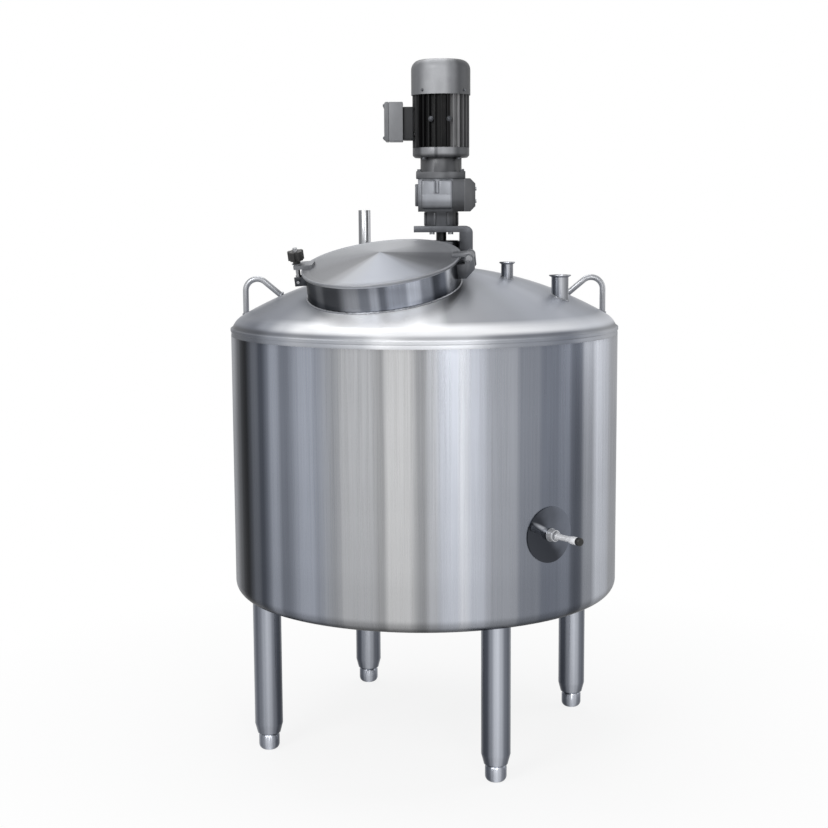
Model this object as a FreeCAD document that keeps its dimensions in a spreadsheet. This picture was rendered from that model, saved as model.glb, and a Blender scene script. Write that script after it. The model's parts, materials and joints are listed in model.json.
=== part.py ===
import FreeCAD, Part
import Sketcher
import math
import os
import re

# Syrup preparation tank: an insulated vessel on four legs, with a hinged manway lid on its dished head
# and a vertical geared motor that turns an agitator. Lengths are in millimetres, angles in degrees.
# The origin is at floor level on the tank's axis, +Z is up, and the side port looks to the front (-Y).

Vector = FreeCAD.Vector
X_AXIS, Y_AXIS, Z_AXIS = Vector(1, 0, 0), Vector(0, 1, 0), Vector(0, 0, 1)

# Driving dimensions
SIZES = {
    "tank_radius": 530,
    "cladding": 2,
    "fit_gap": 0.2,
    "running_gap": 0.05,
    # head
    "head_height": 1125,
    "crown_ratio": 1.8868,
    "head_knuckle": 59,
    "head_thickness": 3,
    "bead_rise": 10,
    "bead_width": 12,
    "bead_proud": 1.5,
    "bead_root": 3.5,
    # jacket bottom and vessel
    "bottom_height": 448,
    "bottom_knuckle": 38,
    "bottom_slope": 5,
    "wall_insulation": 57,
    "floor_insulation": 44,
    "vessel_wall": 3,
    "vessel_knuckle": 30,
    # legs and feet
    "leg_inset": 64,
    "leg_turn": 22.6,
    "leg_radius": 38,
    "leg_wall": 2.5,
    "leg_mouth_radius": 31,
    "leg_taper": 26.5,
    "leg_plug": 19,
    "spindle_radius": 12,
    "spindle_spare": 58,
    "foot_radius": 28,
    "foot_sole": 18,
    "foot_height": 44,
    "foot_rise": 16,
    "foot_edge": 3,
    "foot_gap": 2.5,
    # outlet
    "outlet_radius": 26.5,
    "outlet_wall": 1.5,
    "outlet_drop": 148,
    # pipes on the head: distance in from the wall, place along Y, height over the crown's top
    "vent_inset": 363,
    "vent_y": 132,
    "vent_radius": 17,
    "vent_rise": 150.64,
    "spray_inset": 307,
    "spray_y": -106,
    "spray_radius": 16,
    "spray_lip": 21,
    "spray_rise": 11.64,
    "charge_inset": 170,
    "charge_y": -159,
    "charge_radius": 22.5,
    "charge_lip": 29,
    "charge_drop": 21.36,
    "pipe_wall": 2,
    "pipe_depth": 8,
    "lip_thickness": 6,
    # lifting lugs
    "lug_rod": 8,
    "lug_inset": 39,
    "lug_bend": 32,
    "lug_rise": 118,
    "lug_slope": 40,
    # manway
    "manway_tilt": 15,
    "manway_turn": -24,
    "hinge_turn": 16,
    "collar_radius": 200,
    "collar_wall": 4,
    "collar_height": 46,
    "collar_depth": 45,
    "gasket_thickness": 6,
    "gasket_width": 14,
    "lid_lap": 7,
    "lid_thickness": 3,
    "lid_rise": 26,
    "lid_flat": 19,
    "skirt_depth": 8,
    "skirt_wall": 2.7,
    # lid hinge
    "hinge_overhang": 25,
    "hinge_height": 52,
    "hinge_pin": 6,
    "hinge_eye": 11,
    "arm_width": 30,
    "arm_thickness": 8,
    "ear_thickness": 8,
    "ear_round": 12,
    "bracket_back": 12,
    # lid clamp
    "clamp_overhang": 15,
    "clamp_height": 20,
    "clamp_pin": 4,
    "clamp_eye": 10,
    "clamp_width": 16,
    "clamp_ear": 5,
    "clamp_margin": 2,
    "bolt_radius": 6,
    "bolt_length": 88,
    "bolt_play": 1,
    "fork_thickness": 10,
    "fork_width": 42,
    "knob_lift": 0.9,
    "knob_hub": 10,
    "knob_radius": 21,
    "knob_hub_height": 10,
    "knob_height": 34,
    "knob_scallop": 8,
    "knob_scallops": 5,
    # side port
    "port_turn": 36.5,
    "port_height": 645,
    "pad_radius": 72,
    "pad_thickness": 3,
    "well_radius": 8,
    "well_bore": 5,
    "well_reach": 95,
    "boss_radius": 15,
    "boss_length": 20,
    "probe_radius": 7.5,
    "probe_head": 10,
    "probe_length": 104,
    "cap_length": 14,
    "cap_wall": 0.5,
    "cap_edge": 3,
    # drive, from the head upwards
    "drive_offset": 48,
    "neck_radius": 45,
    "neck_bore": 22,
    "neck_flange": 57.5,
    "neck_rise": 22.64,
    "neck_flange_thickness": 18,
    "seal_radius": 50.5,
    "seal_height": 27,
    "seal_edge": 4,
    "shaft_gap": 22.6,
    "plate_thickness": 16.4,
    "plate_left": 75,
    "plate_depth": 96,
    "column_near": 50,
    "column_far": 85,
    "column_round": 18,
    "bolt_circle": 36,
    "bore_play": 2,
    "screw_radius": 4,
    "screw_head": 7,
    "screw_head_height": 6,
    "screw_reach": 11,
    # gearbox
    "output_neck": 46,
    "output_neck_height": 39,
    "bearing_seat": 32,
    "bearing_inset": 4,
    "bearing_spare": 1,
    "output_radius": 20,
    "output_bearing_height": 14,
    "box_floor": 12,
    "box_height": 89,
    "box_left": 63,
    "box_right": 62,
    "box_depth": 94,
    "box_wall": 7,
    "cover_reach": 92,
    "cover_chamfer": 14,
    "cover_screw": 3,
    "flange_thickness": 18,
    "flange_left": 68,
    "flange_right": 65,
    "flange_depth": 104,
    "adapter_radius": 56,
    "adapter_bore": 40,
    "adapter_height": 38,
    "gear_module_one": 1.5,
    "pinion_teeth": 13,
    "wheel_teeth": 47,
    "gear_module_two": 2,
    "second_pinion_teeth": 12,
    "output_teeth": 33,
    "pressure_angle": 25,
    "backlash": 0.12,
    "pinion_margin": 1,
    "output_wheel_rise": 7,
    "output_wheel_width": 14,
    "wheel_spacing": 11,
    "wheel_width": 10,
    "counter_radius": 7,
    "counter_bearing": 13,
    "counter_bearing_height": 7,
    # motor
    "shield_height": 27,
    "shield_floor": 3,
    "shield_web": 18,
    "shield_chamfer": 6,
    "frame_height": 146,
    "frame_radius": 66,
    "frame_wall": 6,
    "fin_reach": 11,
    "fin_root": 2,
    "fin_thickness": 3,
    "fin_count": 28,
    "core_inset": 22,
    "core_height": 95,
    "rotor_radius": 35,
    "air_gap": 0.5,
    "rotor_shaft": 12,
    "shaft_spare": 4,
    "pinion_stub": 5,
    "motor_bearing": 24,
    "motor_bearing_height": 12,
    "rear_rim": 6,
    "rear_boss": 8,
    "rear_shield_height": 16,
    "fan_clearance": 10,
    "fan_height": 18,
    "fan_radius": 62,
    "fan_hub_wall": 10,
    "fan_blades": 6,
    "cowl_overlap": 6,
    "cowl_headroom": 44,
    "cowl_wall": 3,
    "cowl_round": 27,
    "cowl_slots": 12,
    # terminal box
    "box_neck_height": 64,
    "box_neck_play": 2,
    "terminal_rise": 69,
    "terminal_height": 104,
    "terminal_width": 92,
    "terminal_reach": 153,
    "terminal_cover": 12,
    "terminal_depth": 50,
    "terminal_wall": 4,
    "terminal_edge": 4,
    "gland_radius": 11,
    "gland_length": 22,
    # agitator
    "shaft_radius": 14,
    "shaft_floor": 13,
    "shaft_engaged": 11,
    "impeller_rise": 15,
    "impeller_height": 50,
    "impeller_hub": 28,
    "impeller_radius": 160,
    "blade_root": 4,
    "blade_width": 46,
    "blade_thickness": 5,
    "blade_pitch": 45,
    "blade_count": 4,
}

# Dimensions that follow from them, from the floor upwards
FOLLOWING = {
    "crown_radius": "tank_radius * crown_ratio",
    "knuckle_x": "tank_radius - head_knuckle",
    "crown_centre": "head_height - sqrt((crown_radius - head_knuckle)^2 - knuckle_x^2)",
    "crown_top": "crown_centre + crown_radius",
    "vessel_radius": "tank_radius - wall_insulation",
    "vessel_height": "bottom_height + floor_insulation",
    "leg_circle": "tank_radius - leg_inset",
    "leg_mouth_height": "foot_height + foot_gap",
    "leg_end_height": "leg_mouth_height + leg_taper",
    "leg_plug_top": "leg_end_height + leg_plug",
    "spindle_top": "leg_plug_top + spindle_spare",
    "outlet_mouth": "bottom_height - outlet_drop",
    "vent_x": "vent_inset - tank_radius",
    "vent_top": "crown_top + vent_rise",
    "spray_x": "tank_radius - spray_inset",
    "spray_top": "crown_top + spray_rise",
    "charge_x": "tank_radius - charge_inset",
    "charge_top": "crown_top - charge_drop",
    "lug_reach": "tank_radius - lug_inset",
    "lug_bend_height": "head_height + lug_rise",
    "lid_radius": "collar_radius + lid_lap",
    "cone_radius": "lid_radius - lid_flat",
    "lid_under": "collar_height + fit_gap + gasket_thickness",
    "lid_top": "lid_under + lid_thickness",
    "hinge_reach": "lid_radius + hinge_overhang",
    "clamp_reach": "lid_radius + clamp_overhang",
    "bolt_top": "clamp_height + bolt_length",
    "knob_base": "lid_top + fork_thickness + knob_lift",
    "well_depth": "vessel_radius - well_reach",
    "port_seat": "tank_radius + pad_thickness + fit_gap",
    "probe_reach": "tank_radius + probe_length",
    "neck_flange_base": "crown_top + neck_rise",
    "neck_top": "neck_flange_base + neck_flange_thickness",
    "seal_top": "neck_top + seal_height",
    "plate_base": "seal_top + shaft_gap",
    "plate_top": "plate_base + plate_thickness",
    "box_base": "plate_top + output_neck_height",
    "box_top": "box_base + box_height",
    "flange_top": "box_top + flange_thickness",
    "shield_base": "flange_top + adapter_height",
    "frame_base": "shield_base + shield_height",
    "frame_top": "frame_base + frame_height",
    "frame_bore": "frame_radius - frame_wall",
    "fin_radius": "frame_radius + fin_reach",
    "core_base": "frame_base + core_inset",
    "core_top": "core_base + core_height",
    "rear_shield_top": "frame_top + rear_shield_height",
    "fan_base": "rear_shield_top + fan_clearance",
    "fan_top": "fan_base + fan_height",
    "cowl_base": "frame_top - cowl_overlap",
    "cowl_top": "fan_top + cowl_headroom",
    "cowl_radius": "fin_radius + fit_gap + cowl_wall",
    "centre_distance": "gear_module_one * (pinion_teeth + wheel_teeth) / 2",
    "counter_x": "drive_offset + centre_distance",
    "output_wheel_base": "box_base + box_floor + output_wheel_rise",
    "output_wheel_top": "output_wheel_base + output_wheel_width",
    "wheel_base": "output_wheel_top + wheel_spacing",
    "wheel_top": "wheel_base + wheel_width",
    "rotor_base": "wheel_base - shaft_spare",
    "rotor_top": "fan_top + shaft_spare",
    "terminal_centre": "frame_base + terminal_rise",
    "shaft_bottom": "vessel_height + shaft_floor",
    "shaft_top": "output_wheel_base + shaft_engaged",
    "impeller_base": "shaft_bottom + impeller_rise",
    "impeller_top": "impeller_base + impeller_height",
}

doc = FreeCAD.newDocument("SyrupTank")
sheet = doc.addObject("Spreadsheet::Sheet", "Sizes")
cells = list(SIZES.items()) + [(alias, "=" + text) for alias, text in FOLLOWING.items()]
for row, (alias, value) in enumerate(cells, start=1):
    sheet.set("A%d" % row, alias)
    sheet.set("B%d" % row, str(value))
    sheet.setAlias("B%d" % row, alias)
doc.recompute()

NAMES = sorted([alias for alias, value in cells], key=len, reverse=True)
ALIAS = re.compile(r"(?<![\w.])(%s)(?!\w)" % "|".join(NAMES))
pieces = {}


def linked(text):
    """The expression with each size pointed at its cell."""
    return ALIAS.sub(r"Sizes.\1", str(text))


def number(text):
    result = sheet.evalExpression(linked(text))
    return float(getattr(result, "Value", result))


def keep(label, item):
    """Names a finished piece, which is then written to its own file."""
    item.Label = label
    pieces[label] = item
    return item


def move(item, x="0", y="0", z="0"):
    item.Placement.Base = Vector(number(x), number(y), number(z))
    for axis, text in (("x", x), ("y", y), ("z", z)):
        item.setExpression("Placement.Base." + axis, linked(text))
    return item


def in_frame(item, frame):
    """Carries an item over from a tilted frame of its own."""
    for axis in ("x", "y", "z"):
        item.setExpression("Placement.Base." + axis, None)
    item.Placement = frame.multiply(item.Placement)
    return item


def arc_through(start, end, radius, side):
    chord = end - start
    across = Vector(-chord.y, chord.x, 0).normalize()
    middle = (start + end) * 0.5
    centre = middle + across * (side * math.sqrt(max(radius ** 2 - (chord.Length / 2) ** 2, 0)))
    return Part.Arc(start, centre + (middle - centre).normalize() * radius, end)


def drawn(body, name, plane_role, corners):
    """A closed sketch. A corner is (x, y), or (x, y, radius, side) where an arc leaves it."""
    sketch = body.newObject("Sketcher::SketchObject", name)
    base = next(item for item in body.Origin.OriginFeatures if item.Role == plane_role)
    sketch.AttachmentSupport = [(base, "")]
    sketch.MapMode = "FlatFace"
    spots = [Vector(number(corner[0]), number(corner[1]), 0) for corner in corners]
    count = len(corners)
    ends = []
    for i, corner in enumerate(corners):
        start, end = spots[i], spots[(i + 1) % count]
        if len(corner) == 2:
            sketch.addGeometry(Part.LineSegment(start, end))
        else:
            sketch.addGeometry(arc_through(start, end, number(corner[2]), corner[3]))
        forward = (sketch.getPoint(i, 1) - start).Length < 1e-6
        ends.append((1, 2) if forward else (2, 1))
    for i in range(count):
        following = (i + 1) % count
        sketch.addConstraint(Sketcher.Constraint(
            "Coincident", i, ends[i][1], following, ends[following][0]))
    for i, corner in enumerate(corners):
        for kind, text in (("DistanceX", corner[0]), ("DistanceY", corner[1])):
            index = sketch.addConstraint(Sketcher.Constraint(kind, i, ends[i][0], number(text)))
            sketch.setExpression("Constraints[%d]" % index, linked(text))
        if len(corner) > 2:
            index = sketch.addConstraint(Sketcher.Constraint("Radius", i, number(corner[2])))
            sketch.setExpression("Constraints[%d]" % index, linked(corner[2]))
    return sketch


def turned(name, corners):
    """A solid of revolution about its own Z axis, from corners (radius, height)."""
    body = doc.addObject("PartDesign::Body", name)
    sketch = drawn(body, name + "_outline", "XZ_Plane", corners)
    turn = body.newObject("PartDesign::Revolution", name + "_turn")
    turn.Profile = sketch
    turn.ReferenceAxis = (sketch, ["V_Axis"])
    turn.Angle = 360
    return body


def plate(name, corners, thickness, plane_role="XZ_Plane"):
    """A plate of an outline, its thickness shared to both sides of the plane."""
    body = doc.addObject("PartDesign::Body", name)
    sketch = drawn(body, name + "_outline", plane_role, corners)
    pad = body.newObject("PartDesign::Pad", name + "_pad")
    pad.Profile = sketch
    pad.setExpression("Length", linked(thickness))
    pad.Midplane = True
    return body


def ring(name, inner, outer, low, high):
    return turned(name, [(inner, low), (outer, low), (outer, high), (inner, high)])


def rod(name, radius, length, x="0", y="0", z="0", turn=None):
    item = doc.addObject("Part::Cylinder", name)
    item.setExpression("Radius", linked(radius))
    item.setExpression("Height", linked(length))
    if turn is not None:
        item.Placement.Rotation = turn
    return move(item, x, y, z)


def block(name, size, corner):
    item = doc.addObject("Part::Box", name)
    for side, text in zip(("Length", "Width", "Height"), size):
        item.setExpression(side, linked(text))
    return move(item, *corner)


def cut(name, base, *tools):
    item = doc.addObject("Part::Cut", name)
    item.Base = base
    if len(tools) == 1:
        item.Tool = tools[0]
    else:
        item.Tool = joined(name + "_tools", *tools)
    return item


def joined(name, *items):
    item = doc.addObject("Part::MultiFuse", name)
    item.Shapes = list(items)
    return item


def common(name, *items):
    item = doc.addObject("Part::MultiCommon", name)
    item.Shapes = list(items)
    return item


def group(name, items):
    item = doc.addObject("Part::Compound", name)
    item.Links = list(items)
    return item


def shaped(name, shape):
    item = doc.addObject("Part::Feature", name)
    item.Shape = shape
    return item


TURN_TO_X = FreeCAD.Rotation(Y_AXIS, 90)
TURN_TO_Y = FreeCAD.Rotation(X_AXIS, -90)
HALF_TURN = 180.0
CORNER = ("0", "0", "0")

# Dished head: a crown of one large radius, which a knuckle joins to the straight wall
def crown_height(radius, inset="0"):
    """Height of the crown at a distance from the axis."""
    return "(crown_centre + sqrt((crown_radius - %s)^2 - (%s)^2))" % (inset, radius)


def head_outline(inset):
    """Corners of the head's surface, inset by a thickness, from the rim up to the axis."""
    crown = "(crown_radius - %s)" % inset
    reach = "(head_knuckle - crown_radius)"
    join_x = "(-knuckle_x / %s * %s)" % (reach, crown)
    join_z = "(crown_centre + (crown_centre - head_height) / %s * %s)" % (reach, crown)
    return [("tank_radius - %s" % inset, "head_height", "head_knuckle - %s" % inset, 1),
            (join_x, join_z, crown, 1),
            ("0", "crown_centre + %s" % crown)]


def reverse_outline(corners):
    """The same corners from the axis out, with each arc on the corner that it now leaves."""
    turned_round = []
    for i in range(len(corners) - 1, -1, -1):
        arc = corners[i - 1][2:] if i > 0 else ()
        if arc:
            arc = (arc[0], -arc[1])
        turned_round.append(corners[i][:2] + arc)
    return turned_round


def head_solid(name):
    """The head filled in, which trims what stands on it."""
    return turned(name, head_outline("0") + [("0", "head_height")])


def dished_bottom(radius, height, knuckle, inner, inset="0"):
    """Corners of a sloping bottom from the wall in to the outlet, inset by a thickness."""
    bend = "(%s - %s)" % (knuckle, inset)
    end_x = "(%s - %s + sin(bottom_slope) * %s)" % (radius, knuckle, bend)
    end_z = "(%s - cos(bottom_slope) * %s)" % (height, bend)
    return [("%s - %s" % (radius, inset), height, bend, -1),
            (end_x, end_z),
            (inner, "%s - (%s - %s) * tan(bottom_slope)" % (end_z, end_x, inner))]


def pipe_hole(name, radius, x, y):
    return rod(name, "%s + fit_gap" % radius, "crown_radius", x, y, "head_height")


# Manway frame: its Z axis stands square on the crown and its X axis points at the lid's hinge
def manway_placement():
    turn = FreeCAD.Rotation(Z_AXIS, number("manway_turn"))
    tilt = FreeCAD.Rotation(X_AXIS, number("manway_tilt"))
    hinge = FreeCAD.Rotation(Z_AXIS, number("hinge_turn"))
    rotation = turn * tilt * hinge
    centre = Vector(0, 0, number("crown_centre")) + rotation.multVec(Z_AXIS) * number("crown_radius")
    return FreeCAD.Placement(centre, rotation)


def on_manway(item):
    return in_frame(item, manway_placement())


def port_placement():
    """The side port's frame: Z points outwards from the tank's axis."""
    rotation = FreeCAD.Rotation(Z_AXIS, number("port_turn")) * FreeCAD.Rotation(X_AXIS, 90)
    return FreeCAD.Placement(Vector(0, 0, number("port_height")), rotation)


def on_port(item):
    return in_frame(item, port_placement())


def port_hole(name, radius):
    return on_port(rod(name, radius, "tank_radius + pad_thickness + head_knuckle"))


# Jacket and vessel
def jacket():
    bore = "(outlet_radius + fit_gap)"
    wall = ring("wall_ring", "tank_radius - cladding", "tank_radius", "bottom_height", "head_height")
    keep("jacket_wall", cut("wall_cut", wall, port_hole("wall_port", "well_radius + fit_gap")))
    outside = dished_bottom("tank_radius", "bottom_height", "bottom_knuckle", bore)
    inside = dished_bottom("tank_radius", "bottom_height", "bottom_knuckle", bore, "cladding")
    keep("jacket_bottom", turned("bottom_turn", outside + reverse_outline(inside)))


def head():
    sheet_metal = turned("head_turn", head_outline("0") + reverse_outline(head_outline("head_thickness")))
    low, high = "(head_height + bead_rise)", "(head_height + bead_rise + bead_width)"
    inside, proud = "tank_radius - bead_root", "tank_radius + bead_proud"
    bead = turned("head_bead", [
        (inside, low), ("tank_radius - bead_proud / 2", low), (proud, low + " + bead_width / 4"),
        (proud, high + " - bead_width / 4"), ("tank_radius - 2 * bead_proud", high), (inside, high)])
    shell = joined("head_shell", sheet_metal, bead)
    manway = on_manway(rod("head_manway", "collar_radius + fit_gap", "4 * collar_depth",
                           z="-2 * collar_depth"))
    keep("top_head", cut(
        "head_cut", shell, manway,
        pipe_hole("head_vent", "vent_radius", "vent_x", "vent_y"),
        pipe_hole("head_spray", "spray_radius", "spray_x", "spray_y"),
        pipe_hole("head_charge", "charge_radius", "charge_x", "charge_y"),
        pipe_hole("head_shaft", "neck_bore", "drive_offset", "0")))


def vessel():
    bore = "(outlet_radius + fit_gap)"
    outside = dished_bottom("vessel_radius", "vessel_height", "vessel_knuckle", bore)
    inside = dished_bottom("vessel_radius", "vessel_height", "vessel_knuckle", bore, "vessel_wall")
    inner = "vessel_radius - vessel_wall"
    corners = outside + reverse_outline(inside)
    corners += [(inner, crown_height(inner, "head_thickness")),
                ("vessel_radius", crown_height("vessel_radius", "head_thickness"))]
    shell = turned("vessel_turn", corners)
    keep("inner_vessel", cut("vessel_cut", shell, port_hole("vessel_port", "well_radius + fit_gap")))
    wool = ring("wool_ring", "vessel_radius + fit_gap", "tank_radius - cladding - fit_gap",
                "vessel_height", "head_height - fit_gap")
    keep("wall_insulation", cut("wool_cut", wool, port_hole("wool_port", "well_radius + fit_gap")))
    lip, top = "outlet_radius + lip_thickness", "vessel_height - vessel_knuckle"
    keep("outlet_pipe", turned("outlet_turn", [
        ("outlet_radius - outlet_wall", "outlet_mouth"), (lip, "outlet_mouth"),
        (lip, "outlet_mouth + lip_thickness / 2"), ("outlet_radius", "outlet_mouth + lip_thickness"),
        ("outlet_radius", top), ("outlet_radius - outlet_wall", top)]))


# Legs and screwed feet
LEGS = {"front_right": 0, "front_left": -90, "back_left": 180, "back_right": 90}


def jacket_underside(name):
    """All the space above the jacket's bottom, which trims the legs."""
    outside = dished_bottom("tank_radius", "bottom_height", "bottom_knuckle", "0")
    return turned(name, outside + [("0", "head_height"), ("tank_radius", "head_height")])


def legs():
    for name, quarter in LEGS.items():
        east = "leg_circle * sin(leg_turn + %d)" % quarter
        south = "-leg_circle * cos(leg_turn + %d)" % quarter
        tube = turned(name + "_tube", [
            ("spindle_radius + running_gap", "leg_mouth_height"), ("leg_mouth_radius", "leg_mouth_height"),
            ("leg_radius", "leg_end_height"), ("leg_radius", "head_height / 2"),
            ("leg_radius - leg_wall", "head_height / 2"), ("leg_radius - leg_wall", "leg_plug_top"),
            ("spindle_radius + running_gap", "leg_plug_top")])
        move(tube, east, south)
        keep("leg_" + name, cut(name + "_cut", tube, jacket_underside(name + "_space")))
        sole = turned(name + "_sole", [
            ("0", "0"), ("foot_sole", "0", "foot_rise", 1), ("foot_radius", "foot_rise * 0.9"),
            ("foot_radius", "foot_height - 2 * foot_edge"), ("foot_radius - foot_edge", "foot_height"),
            ("spindle_radius", "foot_height"), ("spindle_radius", "spindle_top"), ("0", "spindle_top")])
        keep("foot_" + name, move(sole, east, south))


# Pipes that stand on the head
def head_pipe(label, x, y, radius, lip, top):
    distance = "sqrt(%s^2 + %s^2)" % (x, y)
    low = "(%s - pipe_depth)" % crown_height(distance, "head_thickness")
    corners = [(radius + " - pipe_wall", low), (radius, low)]
    if lip:
        corners += [(radius, top + " - lip_thickness"), (lip, top + " - lip_thickness / 2")]
        corners += [(lip, top)]
    else:
        corners += [(radius, top)]
    corners += [(radius + " - pipe_wall", top)]
    keep(label, move(turned(label + "_turn", corners), x, y))


def lifting_lugs():
    """Bent rods, each up from the wall, over a bend and down a slope to the head."""
    radius, bend, slope = number("lug_rod"), number("lug_bend"), math.radians(number("lug_slope"))
    reach, height = number("lug_reach"), number("lug_bend_height")
    low = number("head_height")
    for name, side in (("left", -1), ("right", 1)):
        def spot(x, z):
            return Vector(side * x, 0, z)
        centre_x = reach - bend
        end_x = centre_x - bend * math.sin(slope)
        end_z = height + bend * math.cos(slope)
        run = (end_z - low - 2 * radius) / math.sin(slope)
        foot = spot(end_x - run * math.cos(slope), low + 2 * radius)
        over = spot(centre_x + bend * math.sin(slope), height + bend * math.cos(slope))
        path = Part.Wire([
            Part.LineSegment(spot(reach, low), spot(reach, height)).toShape(),
            Part.Arc(spot(reach, height), over, spot(end_x, end_z)).toShape(),
            Part.LineSegment(spot(end_x, end_z), foot).toShape()])
        section = Part.Wire(Part.Circle(spot(reach, low), Z_AXIS, radius).toShape())
        sweep = path.makePipeShell([section], True, True)
        if sweep.Volume < 0:
            sweep.reverse()
        bar = shaped(name + "_bar", sweep)
        keep("lifting_lug_" + name, cut(name + "_lug_cut", bar, head_solid(name + "_lug_trim")))


# Manway: collar, lid, hinge and clamp, drawn in the manway's own frame
def manway():
    inside = "collar_radius - collar_wall"
    collar = turned("collar_turn", [
        (inside, "-collar_depth"), ("collar_radius", "-collar_depth"),
        ("collar_radius", "collar_height"), (inside, "collar_height")])
    keep("manway_collar", on_manway(collar))
    dish = turned("lid_dish", [
        ("0", "lid_under + lid_rise"), ("cone_radius", "lid_under"), ("lid_radius - skirt_wall", "lid_under"),
        ("lid_radius - skirt_wall", "lid_top - skirt_depth"), ("lid_radius", "lid_top - skirt_depth"),
        ("lid_radius", "lid_top"), ("cone_radius", "lid_top"), ("0", "lid_top + lid_rise")])
    lug = block("fork_block",
                ("clamp_reach + bolt_radius - cone_radius + fork_thickness", "fork_width", "fork_thickness"),
                ("-clamp_reach - bolt_radius", "-fork_width / 2", "lid_top"))
    slot_round = rod("slot_round", "bolt_radius + bolt_play", "4 * fork_thickness", "-clamp_reach", "0",
                     "lid_under")
    slot_open = block("slot_open", ("lid_radius", "2 * bolt_radius + 2 * bolt_play", "4 * fork_thickness"),
                      ("-clamp_reach - lid_radius", "-bolt_radius - bolt_play", "lid_under"))
    fork = cut("clamp_fork", lug, slot_round, slot_open)
    keep("lid", on_manway(joined("lid_whole", dish, fork)))
    seal = ring("gasket_ring", "collar_radius - gasket_width / 2", "collar_radius + skirt_wall",
                "collar_height + fit_gap", "lid_under")
    keep("lid_gasket", on_manway(seal))


def lid_hinge():
    half = "(arm_width / 2 + running_gap)"
    strap = block("arm_strap", ("hinge_reach - cone_radius", "arm_width", "arm_thickness"),
                  ("cone_radius", "-arm_width / 2", "lid_top"))
    eye = rod("arm_eye", "hinge_eye", "arm_width",
              "hinge_reach", "-arm_width / 2", "hinge_height", TURN_TO_Y)
    bore = rod("arm_bore", "hinge_pin + running_gap", "2 * arm_width",
               "hinge_reach", "-arm_width", "hinge_height", TURN_TO_Y)
    keep("lid_hinge_arm", on_manway(cut("arm_cut", joined("arm_whole", strap, eye), bore)))
    inside = "collar_radius - collar_wall"
    back_x, tip_x = "hinge_reach - ear_round", "hinge_reach + ear_round"
    ear_top = "collar_height - skirt_depth"
    ears = []
    for name, side in (("near", -1), ("far", 1)):
        ear = plate("hinge_ear_" + name, [
            (inside, "0"), (back_x, "0"), (tip_x, "collar_height / 2"),
            (tip_x, "hinge_height", "ear_round", 1),
            ("hinge_reach", "hinge_height + ear_round", "ear_round", 1),
            (back_x, "hinge_height"), (back_x, ear_top), (inside, ear_top)], "ear_thickness")
        ears.append(move(ear, "0", "%d * (%s + fit_gap + ear_thickness / 2)" % (side, half)))
    back = block("hinge_back", ("bracket_back", "2 * (%s + fit_gap)" % half, "collar_height / 2"),
                 (inside, "-%s - fit_gap" % half, "0"))
    seat = rod("hinge_seat", "collar_radius", "2 * collar_height", "0", "0", "-collar_height / 2")
    hole = rod("hinge_bore", "hinge_pin + running_gap", "4 * arm_width",
               "hinge_reach", "-2 * arm_width", "hinge_height", TURN_TO_Y)
    keep("hinge_bracket", on_manway(cut("hinge_cut", joined("hinge_whole", back, *ears), seat, hole)))
    reach = "(%s + fit_gap + ear_thickness)" % half
    pin = joined("pin_whole",
                 rod("pin_rod", "hinge_pin", "2 * %s + hinge_pin" % reach,
                     "hinge_reach", "-%s" % reach, "hinge_height", TURN_TO_Y),
                 rod("pin_head", "hinge_pin * 1.5", "hinge_pin / 2",
                     "hinge_reach", "-%s - hinge_pin / 2" % reach, "hinge_height", TURN_TO_Y))
    keep("hinge_pin", on_manway(pin))


def lid_clamp():
    inside = "(collar_radius - collar_wall)"
    low, height = "clamp_height - clamp_eye - clamp_margin", "2 * (clamp_eye + clamp_margin)"
    half = "(clamp_width / 2 + fit_gap)"
    span = "(%s + clamp_ear)" % half
    back = block("clamp_back", ("bracket_back", "2 * " + span, height),
                 ("-%s + collar_wall - bracket_back" % inside, "-" + span, low))
    ears = []
    for name, y in (("near", "-" + span), ("far", half)):
        ears.append(block("clamp_ear_" + name, ("clamp_reach + clamp_eye - " + inside, "clamp_ear", height),
                          ("-clamp_reach - clamp_eye", y, low)))
    seat = rod("clamp_seat", "collar_radius", "2 * collar_height", "0", "0", "-collar_height / 2")
    bore = rod("clamp_bore", "clamp_pin + running_gap", "4 * clamp_width",
               "-clamp_reach", "-2 * clamp_width", "clamp_height", TURN_TO_Y)
    keep("clamp_bracket", on_manway(cut("clamp_cut", joined("clamp_whole", back, *ears), seat, bore)))
    pin = rod("clamp_pin_rod", "clamp_pin", "2 * %s + 2 * clamp_pin" % span,
              "-clamp_reach", "-%s - clamp_pin" % span, "clamp_height", TURN_TO_Y)
    keep("clamp_pin", on_manway(pin))
    eye = rod("bolt_eye", "clamp_eye", "clamp_width",
              "-clamp_reach", "-clamp_width / 2", "clamp_height", TURN_TO_Y)
    shank = rod("bolt_shank", "bolt_radius", "bolt_length", "-clamp_reach", "0", "clamp_height")
    hole = rod("bolt_hole", "clamp_pin + running_gap", "2 * clamp_width",
               "-clamp_reach", "-clamp_width", "clamp_height", TURN_TO_Y)
    keep("swing_bolt", on_manway(cut("bolt_cut", joined("bolt_whole", eye, shank), hole)))
    hub = rod("knob_post", "knob_hub", "knob_height", "-clamp_reach", "0", "knob_base")
    grip_base = "knob_base + knob_hub_height"
    grip = rod("knob_grip", "knob_radius", "knob_height - knob_hub_height", "-clamp_reach", "0", grip_base)
    scallops = []
    for i in range(int(number("knob_scallops"))):
        angle = i * 360.0 / number("knob_scallops")
        scallops.append(rod("knob_scallop_%d" % i, "knob_scallop", "knob_height",
                            "-clamp_reach + (knob_radius + knob_scallop / 2) * cos(%g)" % angle,
                            "(knob_radius + knob_scallop / 2) * sin(%g)" % angle, grip_base))
    thread = rod("knob_thread", "bolt_radius + running_gap", "2 * knob_height", "-clamp_reach", "0",
                 "knob_base - bolt_play")
    keep("clamp_knob", on_manway(cut("knob_cut", joined("knob_whole", hub, grip), thread, *scallops)))


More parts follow.
